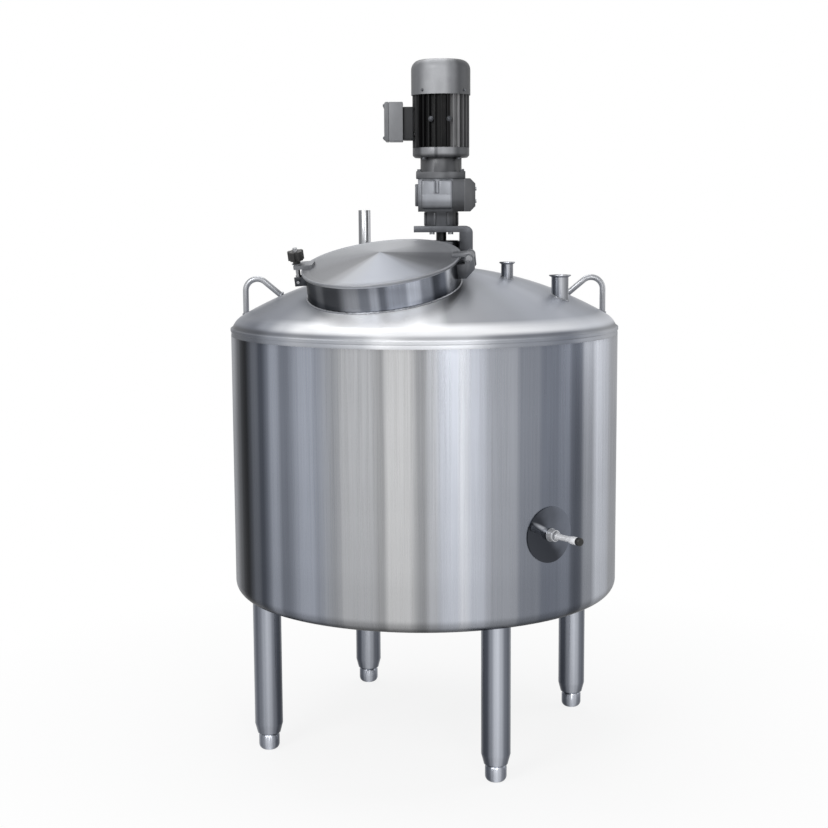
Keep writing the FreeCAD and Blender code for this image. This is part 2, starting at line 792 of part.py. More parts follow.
# Side port with its temperature probe
def side_port():
    shell = ring("pad_ring", "tank_radius", "tank_radius + pad_thickness",
                 "port_height - pad_radius * 1.1", "port_height + pad_radius * 1.1")
    disc = on_port(rod("pad_disc", "pad_radius", "tank_radius + 4 * pad_thickness"))
    pad = common("pad_common", shell, disc)
    keep("port_pad", cut("pad_cut", pad, port_hole("pad_hole", "well_radius + fit_gap")))
    top = "(port_seat + boss_length)"
    well = turned("well_turn", [
        ("0", "well_depth"), ("well_radius", "well_depth"), ("well_radius", "port_seat"),
        ("boss_radius", "port_seat"), ("boss_radius", top), ("well_bore", top),
        ("well_bore", "well_depth + well_bore"), ("0", "well_depth + well_bore")])
    keep("thermowell", on_port(well))
    stem = "well_bore - fit_gap"
    probe = turned("probe_turn", [
        ("0", "well_depth + 2 * well_bore"), (stem, "well_depth + 2 * well_bore"), (stem, top),
        ("probe_radius", top), ("probe_radius", "probe_reach - 3 * probe_head"),
        ("probe_head", "probe_reach - 2 * probe_head"), ("probe_head", "probe_reach"),
        ("0", "probe_reach")])
    keep("temperature_probe", on_port(probe))
    side, end = "(probe_head + cap_wall)", "probe_reach + cap_length"
    cap = turned("cap_turn", [
        ("0", "probe_reach"), (side, "probe_reach"), (side, end + " - cap_edge"),
        (side + " - cap_edge", end), ("0", end)])
    keep("probe_cap", on_port(cap))


# Shaft seal and the bracket that carries the drive
def seal_and_bracket():
    neck = turned("neck_turn", [
        ("neck_bore", "head_height"), ("neck_radius", "head_height"), ("neck_radius", "neck_flange_base"),
        ("neck_flange", "neck_flange_base"), ("neck_flange", "neck_top"), ("neck_bore", "neck_top")])
    neck = move(neck, "drive_offset")
    keep("seal_neck", cut("neck_cut", neck, head_solid("neck_trim")))
    seal = turned("seal_turn", [
        ("shaft_radius + running_gap", "neck_top"), ("seal_radius", "neck_top"),
        ("seal_radius", "seal_top - seal_edge"), ("seal_radius - seal_edge", "seal_top"),
        ("shaft_radius + running_gap", "seal_top")])
    keep("seal_housing", move(seal, "drive_offset"))
    frame = plate("bracket_frame", [
        ("-plate_left", "plate_base"), ("column_near", "plate_base"), ("column_near", "head_height"),
        ("column_far", "head_height"), ("column_far", "plate_top - column_round", "column_round", 1),
        ("column_far - column_round", "plate_top"), ("-plate_left", "plate_top")], "plate_depth")
    frame = move(frame, "drive_offset")
    below = "plate_base - plate_thickness / 4"
    holes = [rod("plate_bore", "output_radius + bore_play", "plate_top", "drive_offset", "0", below)]
    screws = []
    for i in range(4):
        angle = 45 + 90 * i
        x = "drive_offset + bolt_circle * cos(%d)" % angle
        y = "bolt_circle * sin(%d)" % angle
        holes.append(rod("plate_hole_%d" % i, "screw_radius + fit_gap", "plate_top", x, y, below))
        shank = rod("plate_shank_%d" % i, "screw_radius", "plate_thickness + screw_reach - bearing_spare",
                    x, y, "plate_base - bearing_spare")
        cap = rod("plate_head_%d" % i, "screw_head", "screw_head_height", x, y,
                  "plate_base - screw_head_height")
        screws.append(joined("plate_screw_%d" % i, shank, cap))
    clearance = rod("neck_clearance", "neck_flange + fit_gap", "seal_top - head_height",
                    "drive_offset", "0", "head_height")
    keep("drive_bracket", cut("bracket_cut", frame, head_solid("bracket_trim"), clearance, *holes))
    return screws


# Geared reduction: the motor's pinion turns the countershaft, and its pinion turns the output wheel
def gear(name, module, teeth, width, bore, phase):
    """A spur gear with involute flanks; phase is the direction of one tooth's middle, in degrees."""
    module, teeth, width = number(module), int(round(number(teeth))), number(width)
    pressure = math.radians(number("pressure_angle"))
    pitch = module * teeth / 2
    base = pitch * math.cos(pressure)
    tip, root = pitch + 0.9 * module, pitch - 1.15 * module
    half = (math.pi * module / 2 - number("backlash")) / 2 / pitch
    start = half + math.tan(pressure) - pressure

    def flank(radius):
        if radius <= base:
            return start
        angle = math.acos(base / radius)
        return start - (math.tan(angle) - angle)

    def spot(radius, angle):
        return Vector(radius * math.cos(angle), radius * math.sin(angle), 0)
    low = max(root, base)
    edges = []
    gap_angle = math.pi / teeth
    for i in range(teeth):
        middle = math.radians(phase) + 2 * math.pi * i / teeth
        next_root = spot(root, middle + 2 * gap_angle - flank(root))
        rising = [spot(r, middle - flank(r)) for r in (low, (low + tip) / 2, tip)]
        falling = [spot(r, middle + flank(r)) for r in (tip, (low + tip) / 2, low)]
        if root < base:
            edges.append(Part.LineSegment(spot(root, middle - flank(root)), rising[0]))
        edges.append(Part.Arc(*rising))
        edges.append(Part.Arc(rising[-1], spot(tip, middle), falling[0]))
        edges.append(Part.Arc(*falling))
        if root < base:
            edges.append(Part.LineSegment(falling[-1], spot(root, middle + flank(root))))
        edges.append(Part.Arc(spot(root, middle + flank(root)), spot(root, middle + gap_angle), next_root))
    outline = Part.Wire([edge.toShape() for edge in edges])
    solid = Part.Face(outline).extrude(Vector(0, 0, width))
    hole = Part.makeCylinder(number(bore), 3 * width, Vector(0, 0, -width))
    return shaped(name, solid.cut(hole))


def gears():
    wheel = gear("wheel_gear", "gear_module_one", "wheel_teeth", "wheel_width",
                 "counter_radius + fit_gap / 10", HALF_TURN + HALF_TURN / number("wheel_teeth"))
    keep("countershaft_wheel", move(wheel, "counter_x", "0", "wheel_base"))
    second = gear("second_gear", "gear_module_two", "second_pinion_teeth",
                  "output_wheel_width + 2 * pinion_margin", "counter_radius / 2", HALF_TURN)
    second = move(second, "counter_x", "0", "output_wheel_base - pinion_margin")
    low = "(box_base + box_floor - counter_bearing_height)"
    high = "(box_top + counter_bearing_height)"
    plain = turned("counter_turn", [
        ("0", low), ("counter_radius", low), ("counter_radius", high), ("0", high)])
    keep("countershaft", joined("counter_whole", move(plain, "counter_x"), second))
    output = gear("output_gear", "gear_module_two", "output_teeth", "output_wheel_width",
                  "output_radius + fit_gap / 10", HALF_TURN / number("output_teeth"))
    keep("output_wheel", move(output, "drive_offset", "0", "output_wheel_base"))
    sleeve = ring("output_sleeve", "shaft_radius + running_gap", "output_radius", "plate_base + bore_play",
                  "output_wheel_top + pinion_margin")
    keep("output_shaft", move(sleeve, "drive_offset"))


def bearings():
    """Each pair of bearings: the lower ends of both, their radii, their height and their axis."""
    pairs = {
        "output_bearings": (("plate_top + bearing_inset",
                             "box_base + box_floor - output_bearing_height - bearing_inset"),
                            "output_radius", "bearing_seat - fit_gap", "output_bearing_height",
                            "drive_offset"),
        "countershaft_bearings": (("box_base + box_floor - counter_bearing_height", "box_top"),
                                  "counter_radius", "counter_bearing", "counter_bearing_height",
                                  "counter_x"),
        "motor_bearings": (("shield_base + shield_floor + bearing_spare", "frame_top + 2 * bearing_spare"),
                           "rotor_shaft", "motor_bearing", "motor_bearing_height", "drive_offset"),
    }
    for label, (lows, inner, outer, height, axis) in pairs.items():
        rings = []
        for i, low in enumerate(lows):
            high = "%s + %s" % (low, height)
            race = ring("%s_%d" % (label, i), inner + " + running_gap", outer, low, high)
            rings.append(move(race, axis))
        keep(label, group(label + "_pair", rings))


def gearbox():
    outer = block("box_outer", ("box_left + box_right", "box_depth", "box_height"),
                  ("drive_offset - box_left", "-box_depth / 2", "box_base"))
    neck = rod("box_neck", "output_neck", "output_neck_height", "drive_offset", "0", "plate_top")
    cavity = block("box_cavity", ("box_left + box_right", "box_depth - 2 * box_wall", "box_top"),
                   ("drive_offset - box_left + box_wall", "-box_depth / 2 + box_wall",
                    "box_base + box_floor"))
    seat = rod("box_seat", "bearing_seat", "box_top", "drive_offset", "0", "plate_top - bearing_inset")
    pocket = rod("box_pocket", "counter_bearing + fit_gap", "box_floor", "counter_x", "0",
                 "box_base + box_floor - counter_bearing_height - fit_gap")
    tools = [cavity, seat, pocket]
    for i in range(4):
        angle = 45 + 90 * i
        tools.append(rod("neck_hole_%d" % i, "screw_radius + fit_gap", "screw_reach + 2 * bearing_spare",
                         "drive_offset + bolt_circle * cos(%d)" % angle, "bolt_circle * sin(%d)" % angle,
                         "plate_top - bearing_spare"))
    face = "drive_offset + box_right"
    reach = "(cover_reach - box_right)"
    bevel = "%s - cover_chamfer" % reach
    cover = plate("cover_profile", [
        ("0", "box_base"), (bevel, "box_base"), (reach, "box_base + cover_chamfer"),
        (reach, "box_top - cover_chamfer"), (bevel, "box_top"), ("0", "box_top")], "box_depth")
    cover = move(cover, face)
    hollow = block("cover_hollow",
                   ("%s - box_wall + bearing_spare" % reach, "box_depth - 2 * box_wall",
                    "box_height - 2 * cover_chamfer - box_wall"),
                   (face + " - bearing_spare", "-box_depth / 2 + box_wall",
                    "box_base + cover_chamfer + box_wall / 2"))
    screws, cover_holes = [], []
    rows = ("box_base + 2 * cover_chamfer", "box_top - 2 * cover_chamfer")
    corners = [(side, z) for side in (-1, 1) for z in rows]
    start = "drive_offset + box_right - 2 * box_wall"
    for i, (side, z) in enumerate(corners):
        y = "%d * (box_depth - box_wall) / 2" % side
        tools.append(rod("box_screw_hole_%d" % i, "cover_screw + fit_gap / 2", "3 * box_wall",
                         start, y, z, TURN_TO_X))
        cover_holes.append(rod("cover_hole_%d" % i, "cover_screw + fit_gap / 2", "cover_reach",
                               face + " - bearing_spare", y, z, TURN_TO_X))
        shank = rod("cover_shank_%d" % i, "cover_screw", reach + " + 2 * box_wall",
                    start, y, z, TURN_TO_X)
        cap = rod("cover_cap_%d" % i, "cover_screw * 1.7", "cover_screw",
                  "drive_offset + cover_reach", y, z, TURN_TO_X)
        screws.append(joined("cover_screw_%d" % i, shank, cap))
    keep("gearbox_housing", cut("box_cut", joined("box_whole", outer, neck), *tools))
    keep("gearbox_side_cover", cut("cover_cut", cover, hollow, *cover_holes))
    return screws


def input_flange():
    slab = block("flange_slab", ("flange_left + flange_right", "flange_depth", "flange_thickness"),
                 ("drive_offset - flange_left", "-flange_depth / 2", "box_top"))
    neck = rod("flange_neck", "adapter_radius", "adapter_height", "drive_offset", "0", "flange_top")
    below = "box_top - bearing_spare"
    bore = rod("flange_bore", "adapter_bore", "shield_base", "drive_offset", "0", below)
    pocket = rod("flange_pocket", "counter_bearing + fit_gap",
                 "counter_bearing_height + fit_gap + bearing_spare", "counter_x", "0", below)
    keep("input_flange", cut("flange_cut", joined("flange_whole", slab, neck), bore, pocket))


# Motor
def motor():
    seat, shaft_hole = "motor_bearing + fit_gap", "rotor_shaft + bore_play"
    shield = turned("shield_turn", [
        (seat, "shield_base + shield_floor"), (shaft_hole, "shield_base + shield_floor"),
        (shaft_hole, "shield_base"), ("fin_radius - shield_chamfer", "shield_base"),
        ("fin_radius", "shield_base + shield_chamfer"), ("fin_radius", "frame_base"),
        ("frame_bore", "frame_base"), ("frame_bore", "shield_base + shield_web"),
        (seat, "shield_base + shield_web")])
    keep("front_end_shield", move(shield, "drive_offset"))
    barrel = ring("barrel_ring", "frame_bore", "frame_radius", "frame_base", "frame_top")
    fins = []
    count = int(number("fin_count"))
    for i in range(count):
        angle = i * 360.0 / count
        fin = block("fin_%d" % i, ("fin_reach + fin_root", "fin_thickness", "frame_height"), CORNER)
        fin.Placement.Rotation = FreeCAD.Rotation(Z_AXIS, angle)
        start = "(frame_radius - fin_root)"
        fins.append(move(fin, "%s * cos(%g) + fin_thickness / 2 * sin(%g)" % (start, angle, angle),
                         "%s * sin(%g) - fin_thickness / 2 * cos(%g)" % (start, angle, angle), "frame_base"))
    notch = block("frame_notch", ("2 * fin_radius", "box_neck_height * 0.9", "box_neck_height"),
                  ("-2 * fin_radius", "-box_neck_height * 0.45", "terminal_centre - box_neck_height / 2"))
    cleared = joined("frame_whole", barrel, cut("fins_cut", joined("fins_whole", *fins), notch))
    keep("motor_frame", move(cleared, "drive_offset"))
    stator = ring("stator_ring", "rotor_radius + air_gap", "frame_bore - fit_gap", "core_base", "core_top")
    keep("stator_core", move(stator, "drive_offset"))
    pocket = "frame_top + motor_bearing_height + 2 * bearing_spare + fit_gap"
    rear = turned("rear_turn", [
        (seat, "frame_top"), ("frame_radius", "frame_top"), ("frame_radius", "frame_top + rear_rim"),
        ("motor_bearing + rear_boss", "rear_shield_top"), (shaft_hole, "rear_shield_top"),
        (shaft_hole, pocket), (seat, pocket)])
    keep("rear_end_shield", move(rear, "drive_offset"))


def rotor():
    shaft = turned("rotor_turn", [
        ("0", "rotor_base"), ("pinion_stub", "rotor_base"), ("pinion_stub", "wheel_top + shaft_spare"),
        ("rotor_shaft", "wheel_top + 3 * shaft_spare"), ("rotor_shaft", "rotor_top"), ("0", "rotor_top")])
    pinion = gear("pinion_gear", "gear_module_one", "pinion_teeth", "wheel_width + 2 * pinion_margin",
                  "pinion_stub / 2", 0)
    toothed = joined("rotor_whole", shaft, move(pinion, "0", "0", "wheel_base - pinion_margin"))
    keep("rotor_shaft", move(toothed, "drive_offset"))
    core = ring("rotor_ring", "rotor_shaft + fit_gap / 10", "rotor_radius", "core_base", "core_top")
    keep("rotor_core", move(core, "drive_offset"))
    hub = ring("fan_hub", "rotor_shaft + fit_gap / 10", "rotor_shaft + fan_hub_wall", "fan_base", "fan_top")
    blades = []
    count = int(number("fan_blades"))
    start = "(rotor_shaft + fan_hub_wall - fin_root)"
    for i in range(count):
        angle = i * 360.0 / count
        blade = block("fan_blade_%d" % i, ("fan_radius - %s" % start, "cowl_wall", "fan_height"), CORNER)
        blade.Placement.Rotation = FreeCAD.Rotation(Z_AXIS, angle)
        blades.append(move(blade, "%s * cos(%g)" % (start, angle), "%s * sin(%g)" % (start, angle),
                           "fan_base"))
    keep("cooling_fan", move(joined("fan_whole", hub, *blades), "drive_offset"))


def fan_cowl():
    inside = "(cowl_radius - cowl_wall)"
    shell = turned("cowl_turn", [
        ("cowl_radius", "cowl_base"), ("cowl_radius", "cowl_top - cowl_round", "cowl_round", 1),
        ("cowl_radius - cowl_round", "cowl_top"), ("0", "cowl_top"), ("0", "cowl_top - cowl_wall"),
        ("cowl_radius - cowl_round", "cowl_top - cowl_wall", "cowl_round - cowl_wall", -1),
        (inside, "cowl_top - cowl_round"), (inside, "cowl_base")])
    slots = []
    count = int(number("cowl_slots"))
    for i in range(count):
        angle = i * 360.0 / count
        slot = block("cowl_slot_%d" % i, ("fan_radius / 2", "2 * cowl_wall", "4 * cowl_wall"), CORNER)
        slot.Placement.Rotation = FreeCAD.Rotation(Z_AXIS, angle)
        slots.append(move(slot, "fan_radius / 3 * cos(%g)" % angle, "fan_radius / 3 * sin(%g)" % angle,
                          "cowl_top - 2 * cowl_wall"))
    keep("fan_cowl", move(cut("cowl_cut", shell, *slots), "drive_offset"))


def terminal_box():
    far = "drive_offset - terminal_reach"
    low = "terminal_centre - terminal_height / 2"
    high = "terminal_centre + terminal_height / 2"
    face = far + " + terminal_cover"
    depth = "terminal_depth - terminal_cover"
    body = block("tbox_body", (depth, "terminal_width", "terminal_height"),
                 (face, "-terminal_width / 2", low))
    neck = block("tbox_neck", ("terminal_reach - terminal_depth - frame_bore", "box_neck_height * 0.8",
                               "box_neck_height - 2 * box_neck_play"),
                 (far + " + terminal_depth", "-box_neck_height * 0.4",
                  "terminal_centre - box_neck_height / 2 + box_neck_play"))
    barrel = rod("tbox_trim", "frame_radius + fit_gap", "terminal_height", "drive_offset", "0", low)
    hollow = block("tbox_hollow", (depth + " - terminal_wall", "terminal_width - 2 * terminal_wall",
                                   "terminal_height - 2 * terminal_wall"),
                   (face, "-terminal_width / 2 + terminal_wall", low + " + terminal_wall"))
    keep("terminal_box", cut("tbox_cut", joined("tbox_whole", body, neck), barrel, hollow))
    edge = far + " + terminal_edge"
    cover = plate("tbox_cover", [
        (far, low + " + terminal_edge"), (edge, low), (face, low), (face, high), (edge, high),
        (far, high + " - terminal_edge")], "terminal_width")
    keep("terminal_cover", cover)
    gland = turned("gland_turn", [
        ("gland_radius / 2", "0"), ("gland_radius", "0"), ("gland_radius", "gland_length * 0.5"),
        ("gland_radius * 0.8", "gland_length"), ("gland_radius / 2", "gland_length")])
    gland.Placement.Rotation = TURN_TO_Y
    keep("cable_gland", move(gland, far + " + terminal_depth * 0.6", "terminal_width / 2",
                             "terminal_centre - terminal_height / 4"))


# Agitator
def agitator():
    shaft = turned("agitator_turn", [
        ("0", "shaft_bottom"), ("shaft_radius", "shaft_bottom"),
        ("shaft_radius", "shaft_top"), ("0", "shaft_top")])
    keep("agitator_shaft", move(shaft, "drive_offset"))
    hub = ring("impeller_ring", "shaft_radius + fit_gap / 10", "impeller_hub",
               "impeller_base", "impeller_top")
    blades = []
    count = int(number("blade_count"))
    for i in range(count):
        blade = block("blade_%d" % i,
                      ("impeller_radius - impeller_hub + blade_root", "blade_thickness", "blade_width"),
                      ("impeller_hub - blade_root", "-blade_thickness / 2", "-blade_width / 2"))
        around = FreeCAD.Rotation(Z_AXIS, 360.0 * i / count)
        pitch = FreeCAD.Rotation(X_AXIS, number("blade_pitch"))
        middle = Vector(0, 0, number("impeller_base + impeller_height / 2"))
        blades.append(in_frame(blade, FreeCAD.Placement(middle, around * pitch)))
    keep("impeller", move(joined("impeller_whole", hub, *blades), "drive_offset"))


jacket()
head()
vessel()
legs()
head_pipe("vent_pipe", "vent_x", "vent_y", "vent_radius", None, "vent_top")
head_pipe("spray_nozzle", "spray_x", "spray_y", "spray_radius", "spray_lip", "spray_top")
head_pipe("charge_nozzle", "charge_x", "charge_y", "charge_radius", "charge_lip", "charge_top")
lifting_lugs()
manway()
lid_hinge()
lid_clamp()
side_port()
bracket_screws = seal_and_bracket()
gears()
bearings()
cover_screws = gearbox()
keep("drive_screws", group("drive_screw_group", bracket_screws + cover_screws))
input_flange()
motor()
rotor()
fan_cowl()
terminal_box()
agitator()

doc.recompute()
faults = [item.Name for item in doc.Objects if "Invalid" in item.State or "Error" in item.State]
if faults:
    raise RuntimeError("failed objects: %s" % ", ".join(faults))
os.makedirs("parts", exist_ok=True)
for label, item in pieces.items():
    if item.Shape.isNull() or not item.Shape.isValid() or not item.Shape.Solids:
        raise RuntimeError("bad shape: " + label)
for label, item in pieces.items():
    item.Shape.exportStep(os.path.join("parts", label + ".step"))
print("%d pieces written" % len(pieces))
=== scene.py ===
import json
import math

import bpy
from mathutils import Matrix, Vector

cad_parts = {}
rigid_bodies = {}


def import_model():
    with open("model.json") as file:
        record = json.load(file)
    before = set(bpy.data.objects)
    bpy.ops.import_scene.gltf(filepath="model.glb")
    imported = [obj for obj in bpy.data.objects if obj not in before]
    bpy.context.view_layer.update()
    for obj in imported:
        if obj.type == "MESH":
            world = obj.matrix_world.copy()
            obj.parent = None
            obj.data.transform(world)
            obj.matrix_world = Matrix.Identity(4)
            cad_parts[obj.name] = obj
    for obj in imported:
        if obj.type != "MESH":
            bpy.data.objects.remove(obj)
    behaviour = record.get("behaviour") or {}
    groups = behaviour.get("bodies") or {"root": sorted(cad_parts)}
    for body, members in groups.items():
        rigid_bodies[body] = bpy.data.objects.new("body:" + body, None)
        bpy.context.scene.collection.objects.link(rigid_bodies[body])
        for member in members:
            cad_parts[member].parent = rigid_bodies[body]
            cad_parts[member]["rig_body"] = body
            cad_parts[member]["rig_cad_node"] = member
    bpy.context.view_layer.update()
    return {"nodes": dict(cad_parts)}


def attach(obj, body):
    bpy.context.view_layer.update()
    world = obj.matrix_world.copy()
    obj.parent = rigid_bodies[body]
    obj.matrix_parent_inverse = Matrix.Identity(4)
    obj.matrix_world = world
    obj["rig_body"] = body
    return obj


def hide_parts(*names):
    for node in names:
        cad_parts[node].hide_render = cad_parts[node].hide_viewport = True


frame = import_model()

NODES = frame["nodes"]


def turned(angle, axis):
    """A turn by degrees about one axis."""
    return Matrix.Rotation(math.radians(angle), 4, axis)


# Places that the pieces share, in metres, and their turns in degrees
CROWN_R, CROWN_Z = 1.000, 0.31036  # the head's crown is part of a sphere: its radius and its centre's height
DRIVE_X = 0.048  # the drive stands a little beside the tank's axis
GEARBOX_Z = 1.5005
LID_SIDE, LID_TILT, LID_SPIN = -24, 15, 16
LID_TURN = turned(LID_SIDE, "Z") @ turned(LID_TILT, "X") @ turned(LID_SPIN, "Z")
LID_PLACE = Matrix.Translation(Vector((0, 0, CROWN_Z)) + (LID_TURN @ Vector((0, 0, CROWN_R)))) @ LID_TURN
LID_SPOT = LID_PLACE.to_translation()
LID_EULER = LID_TURN.to_euler()
CLAMP_X, HINGE_X = -0.222, 0.232  # in the lid's own place
PORT_SIDE, PORT_Z = 36.5, 0.645
PORT_PLACE = Matrix.Translation((0, 0, PORT_Z)) @ turned(PORT_SIDE, "Z") @ turned(90, "X")
VENT, SPRAY, CHARGE = (-0.167, 0.132), (0.223, -0.106), (0.360, -0.159)  # the open pipes on the head
LEG_CIRCLE, LEG_SIDE = 0.466, 22.6
LEG_SPOTS = {}
for leg_name, quarter in {"front_right": 0, "front_left": -90, "back_left": 180, "back_right": 90}.items():
    leg_angle = math.radians(LEG_SIDE + quarter)
    LEG_SPOTS[leg_name] = (LEG_CIRCLE * math.sin(leg_angle), -LEG_CIRCLE * math.cos(leg_angle))

# Camera, floor and lights
CAMERA_SPOT = (0, -4.2946, 1.4678)
CAMERA_PITCH, CAMERA_YAW, CAMERA_ROLL = 0.1319, -0.0069, -0.0059
CAMERA_LENS, CAMERA_SENSOR = 67.7, 36
FLOOR_SIZE, FLOOR_Z = 14, -0.0005
FLOOR_GREY = 0.88
SKY_COLOUR, SKY_STRENGTH = (0.82, 0.825, 0.84), 0.55
SKY_MIRRORED, FLOOR_MIRRORED = 0.6, 0.35  # how much of the plain white the steel mirrors
SOFTBOXES = {  # spot, what it looks at, width, height and power
    "key_softbox": ((-2.2, -3.4, 3.2), (0, 0, 1.0), 1.6, 2.2, 72),
    "front_softbox": ((1.0, -4.6, 2.4), (0, 0, 0.9), 0.9, 2.4, 32),
    "side_softbox": ((3.8, 0.6, 2.0), (0, 0, 0.9), 1.6, 2.6, 18),
    "top_softbox": ((-0.4, 1.2, 4.2), (0, 0, 1.2), 2.4, 2.4, 42),
}


def set_camera():
    ahead = Vector((math.sin(CAMERA_YAW) * math.cos(CAMERA_PITCH), math.cos(CAMERA_YAW) * math.cos(CAMERA_PITCH),
                    -math.sin(CAMERA_PITCH)))
    level = Vector((math.cos(CAMERA_YAW), -math.sin(CAMERA_YAW), 0))
    upward = level.cross(ahead)
    right = math.cos(CAMERA_ROLL) * level + math.sin(CAMERA_ROLL) * upward
    up = -math.sin(CAMERA_ROLL) * level + math.cos(CAMERA_ROLL) * upward
    bpy.ops.object.camera_add(location=CAMERA_SPOT)
    camera = bpy.context.object
    camera.rotation_euler = Matrix((right, up, -ahead)).transposed().to_euler()
    camera.data.lens = CAMERA_LENS
    camera.data.sensor_width = CAMERA_SENSOR
    bpy.context.scene.camera = camera


def softbox(name, spot, target, width, height, power):
    bpy.ops.object.light_add(type="AREA", location=spot)
    lamp = bpy.context.object
    lamp.name = name
    lamp.data.shape = "RECTANGLE"
    lamp.data.size = width
    lamp.data.size_y = height
    lamp.data.energy = power
    lamp.rotation_euler = (Vector(target) - Vector(spot)).to_track_quat("-Z", "Y").to_euler()


def shared_shader(owner, share, first, second):
    """The second shader by its share, and the first for the rest."""
    mix = owner.node_tree.nodes.new("ShaderNodeMixShader")
    for slot, source in enumerate((share, first, second)):
        owner.node_tree.links.new(source, mix.inputs[slot])
    return mix.outputs[0]


def lay_floor():
    """A floor that takes soft shadows and fades to plain white around the tank."""
    bpy.ops.mesh.primitive_plane_add(size=FLOOR_SIZE, location=(0, 0, FLOOR_Z))
    floor = bpy.context.object
    floor.name = "studio_floor"
    sheet, shader = new_finish("pale floor", (FLOOR_GREY, FLOOR_GREY, FLOOR_GREY), 0.9, 0.0)
    shader.inputs["Specular IOR Level"].default_value = 0.1
    nodes, links = sheet.node_tree.nodes, sheet.node_tree.links
    glow = nodes.new("ShaderNodeEmission")
    glow.inputs["Strength"].default_value = 1.0
    path = nodes.new("ShaderNodeLightPath")
    seen = maths(sheet, "MAXIMUM", path.outputs["Is Glossy Ray"], path.outputs["Is Transmission Ray"])
    reach = around(sheet, own_place(sheet))[1]
    white = scaled_to(sheet, reach, 0.55, 1.7, 0.86, 1.0)
    mirrored = maths(sheet, "MULTIPLY", seen, FLOOR_MIRRORED)
    share = maths(sheet, "MULTIPLY_ADD", path.outputs["Is Camera Ray"], white, mirrored)
    shown = shared_shader(sheet, share, shader.outputs[0], glow.outputs[0])
    links.new(shown, nodes["Material Output"].inputs["Surface"])
    floor.data.materials.append(sheet)


def light_studio():
    world = bpy.data.worlds.new("studio")
    bpy.context.scene.world = world
    world.use_nodes = True
    nodes, links = world.node_tree.nodes, world.node_tree.links
    back = nodes["Background"]
    back.inputs["Color"].default_value = (*SKY_COLOUR, 1)
    back.inputs["Strength"].default_value = SKY_STRENGTH
    white = nodes.new("ShaderNodeBackground")
    white.inputs["Color"].default_value = (1, 1, 1, 1)
    path = nodes.new("ShaderNodeLightPath")
    seen = maths(world, "MAXIMUM", path.outputs["Is Camera Ray"], path.outputs["Is Transmission Ray"])
    share = maths(world, "MULTIPLY_ADD", path.outputs["Is Glossy Ray"], SKY_MIRRORED, seen)
    shown = shared_shader(world, share, back.outputs[0], white.outputs[0])
    links.new(shown, nodes["World Output"].inputs["Surface"])
    for name, setting in SOFTBOXES.items():
        softbox(name, *setting)


# Building blocks of the materials
NOISE_LOW, NOISE_HIGH = 0.25, 0.75  # most of a noise lies between these
DUST_LOW, DUST_HIGH = 0.3, 0.7


def new_finish(name, colour, roughness, metallic):
    finish = bpy.data.materials.new(name)
    finish.use_nodes = True
    shader = finish.node_tree.nodes["Principled BSDF"]
    shader.inputs["Base Color"].default_value = (*colour, 1)
    shader.inputs["Roughness"].default_value = roughness
    shader.inputs["Metallic"].default_value = metallic
    return finish, shader


def own_place(finish, place=None, turn=None, stretch=(1, 1, 1)):
    """The point on the piece, seen from a centre and turn of its own, then stretched."""
    nodes, links = finish.node_tree.nodes, finish.node_tree.links
    spot = nodes.new("ShaderNodeTexCoord").outputs["Object"]
    if place is not None:
        centred = nodes.new("ShaderNodeMapping")
        centred.vector_type = "TEXTURE"
        centred.inputs["Location"].default_value = place
        centred.inputs["Rotation"].default_value = turn or (0, 0, 0)
        links.new(spot, centred.inputs["Vector"])
        spot = centred.outputs[0]
    if tuple(stretch) != (1, 1, 1):
        stretched = nodes.new("ShaderNodeMapping")
        stretched.inputs["Scale"].default_value = stretch
        links.new(spot, stretched.inputs["Vector"])
        spot = stretched.outputs[0]
    return spot


def maths(finish, operation, first, second=None, third=None):
    """One step of arithmetic on sockets or numbers."""
    nodes, links = finish.node_tree.nodes, finish.node_tree.links
    step = nodes.new("ShaderNodeMath")
    step.operation = operation
    for slot, value in enumerate((first, second, third)):
        if value is None:
            continue
        if isinstance(value, (int, float)):
            step.inputs[slot].default_value = value
        else:
            links.new(value, step.inputs[slot])
    return step.outputs[0]


def apart(finish, spot):
    """The three coordinates of a point."""
    parts = finish.node_tree.nodes.new("ShaderNodeSeparateXYZ")
    finish.node_tree.links.new(spot, parts.inputs[0])
    return parts.outputs


def around(finish, spot):
    """Angle about the centre in turns, the distance from it, and the height."""
    x, y, z = apart(finish, spot)
    angle = maths(finish, "ARCTAN2", x, maths(finish, "MULTIPLY", y, -1))
    turns = maths(finish, "MULTIPLY_ADD", angle, 0.5 / math.pi, 0.5)
    squares = maths(finish, "ADD", maths(finish, "MULTIPLY", x, x), maths(finish, "MULTIPLY", y, y))
    return turns, maths(finish, "SQRT", squares), z


def joined_point(finish, x, y, z):
    """A point from three sockets or numbers."""
    nodes, links = finish.node_tree.nodes, finish.node_tree.links
    point = nodes.new("ShaderNodeCombineXYZ")
    for slot, value in enumerate((x, y, z)):
        if isinstance(value, (int, float)):
            point.inputs[slot].default_value = value
        else:
            links.new(value, point.inputs[slot])
    return point.outputs[0]


def speckle(finish, spot, scale, detail, roughness=0.5):
    """Noise from 0 to 1."""
    nodes, links = finish.node_tree.nodes, finish.node_tree.links
    noise = nodes.new("ShaderNodeTexNoise")
    noise.inputs["Scale"].default_value = scale
    noise.inputs["Detail"].default_value = detail
    noise.inputs["Roughness"].default_value = roughness
    links.new(spot, noise.inputs["Vector"])
    return noise.outputs["Fac"]


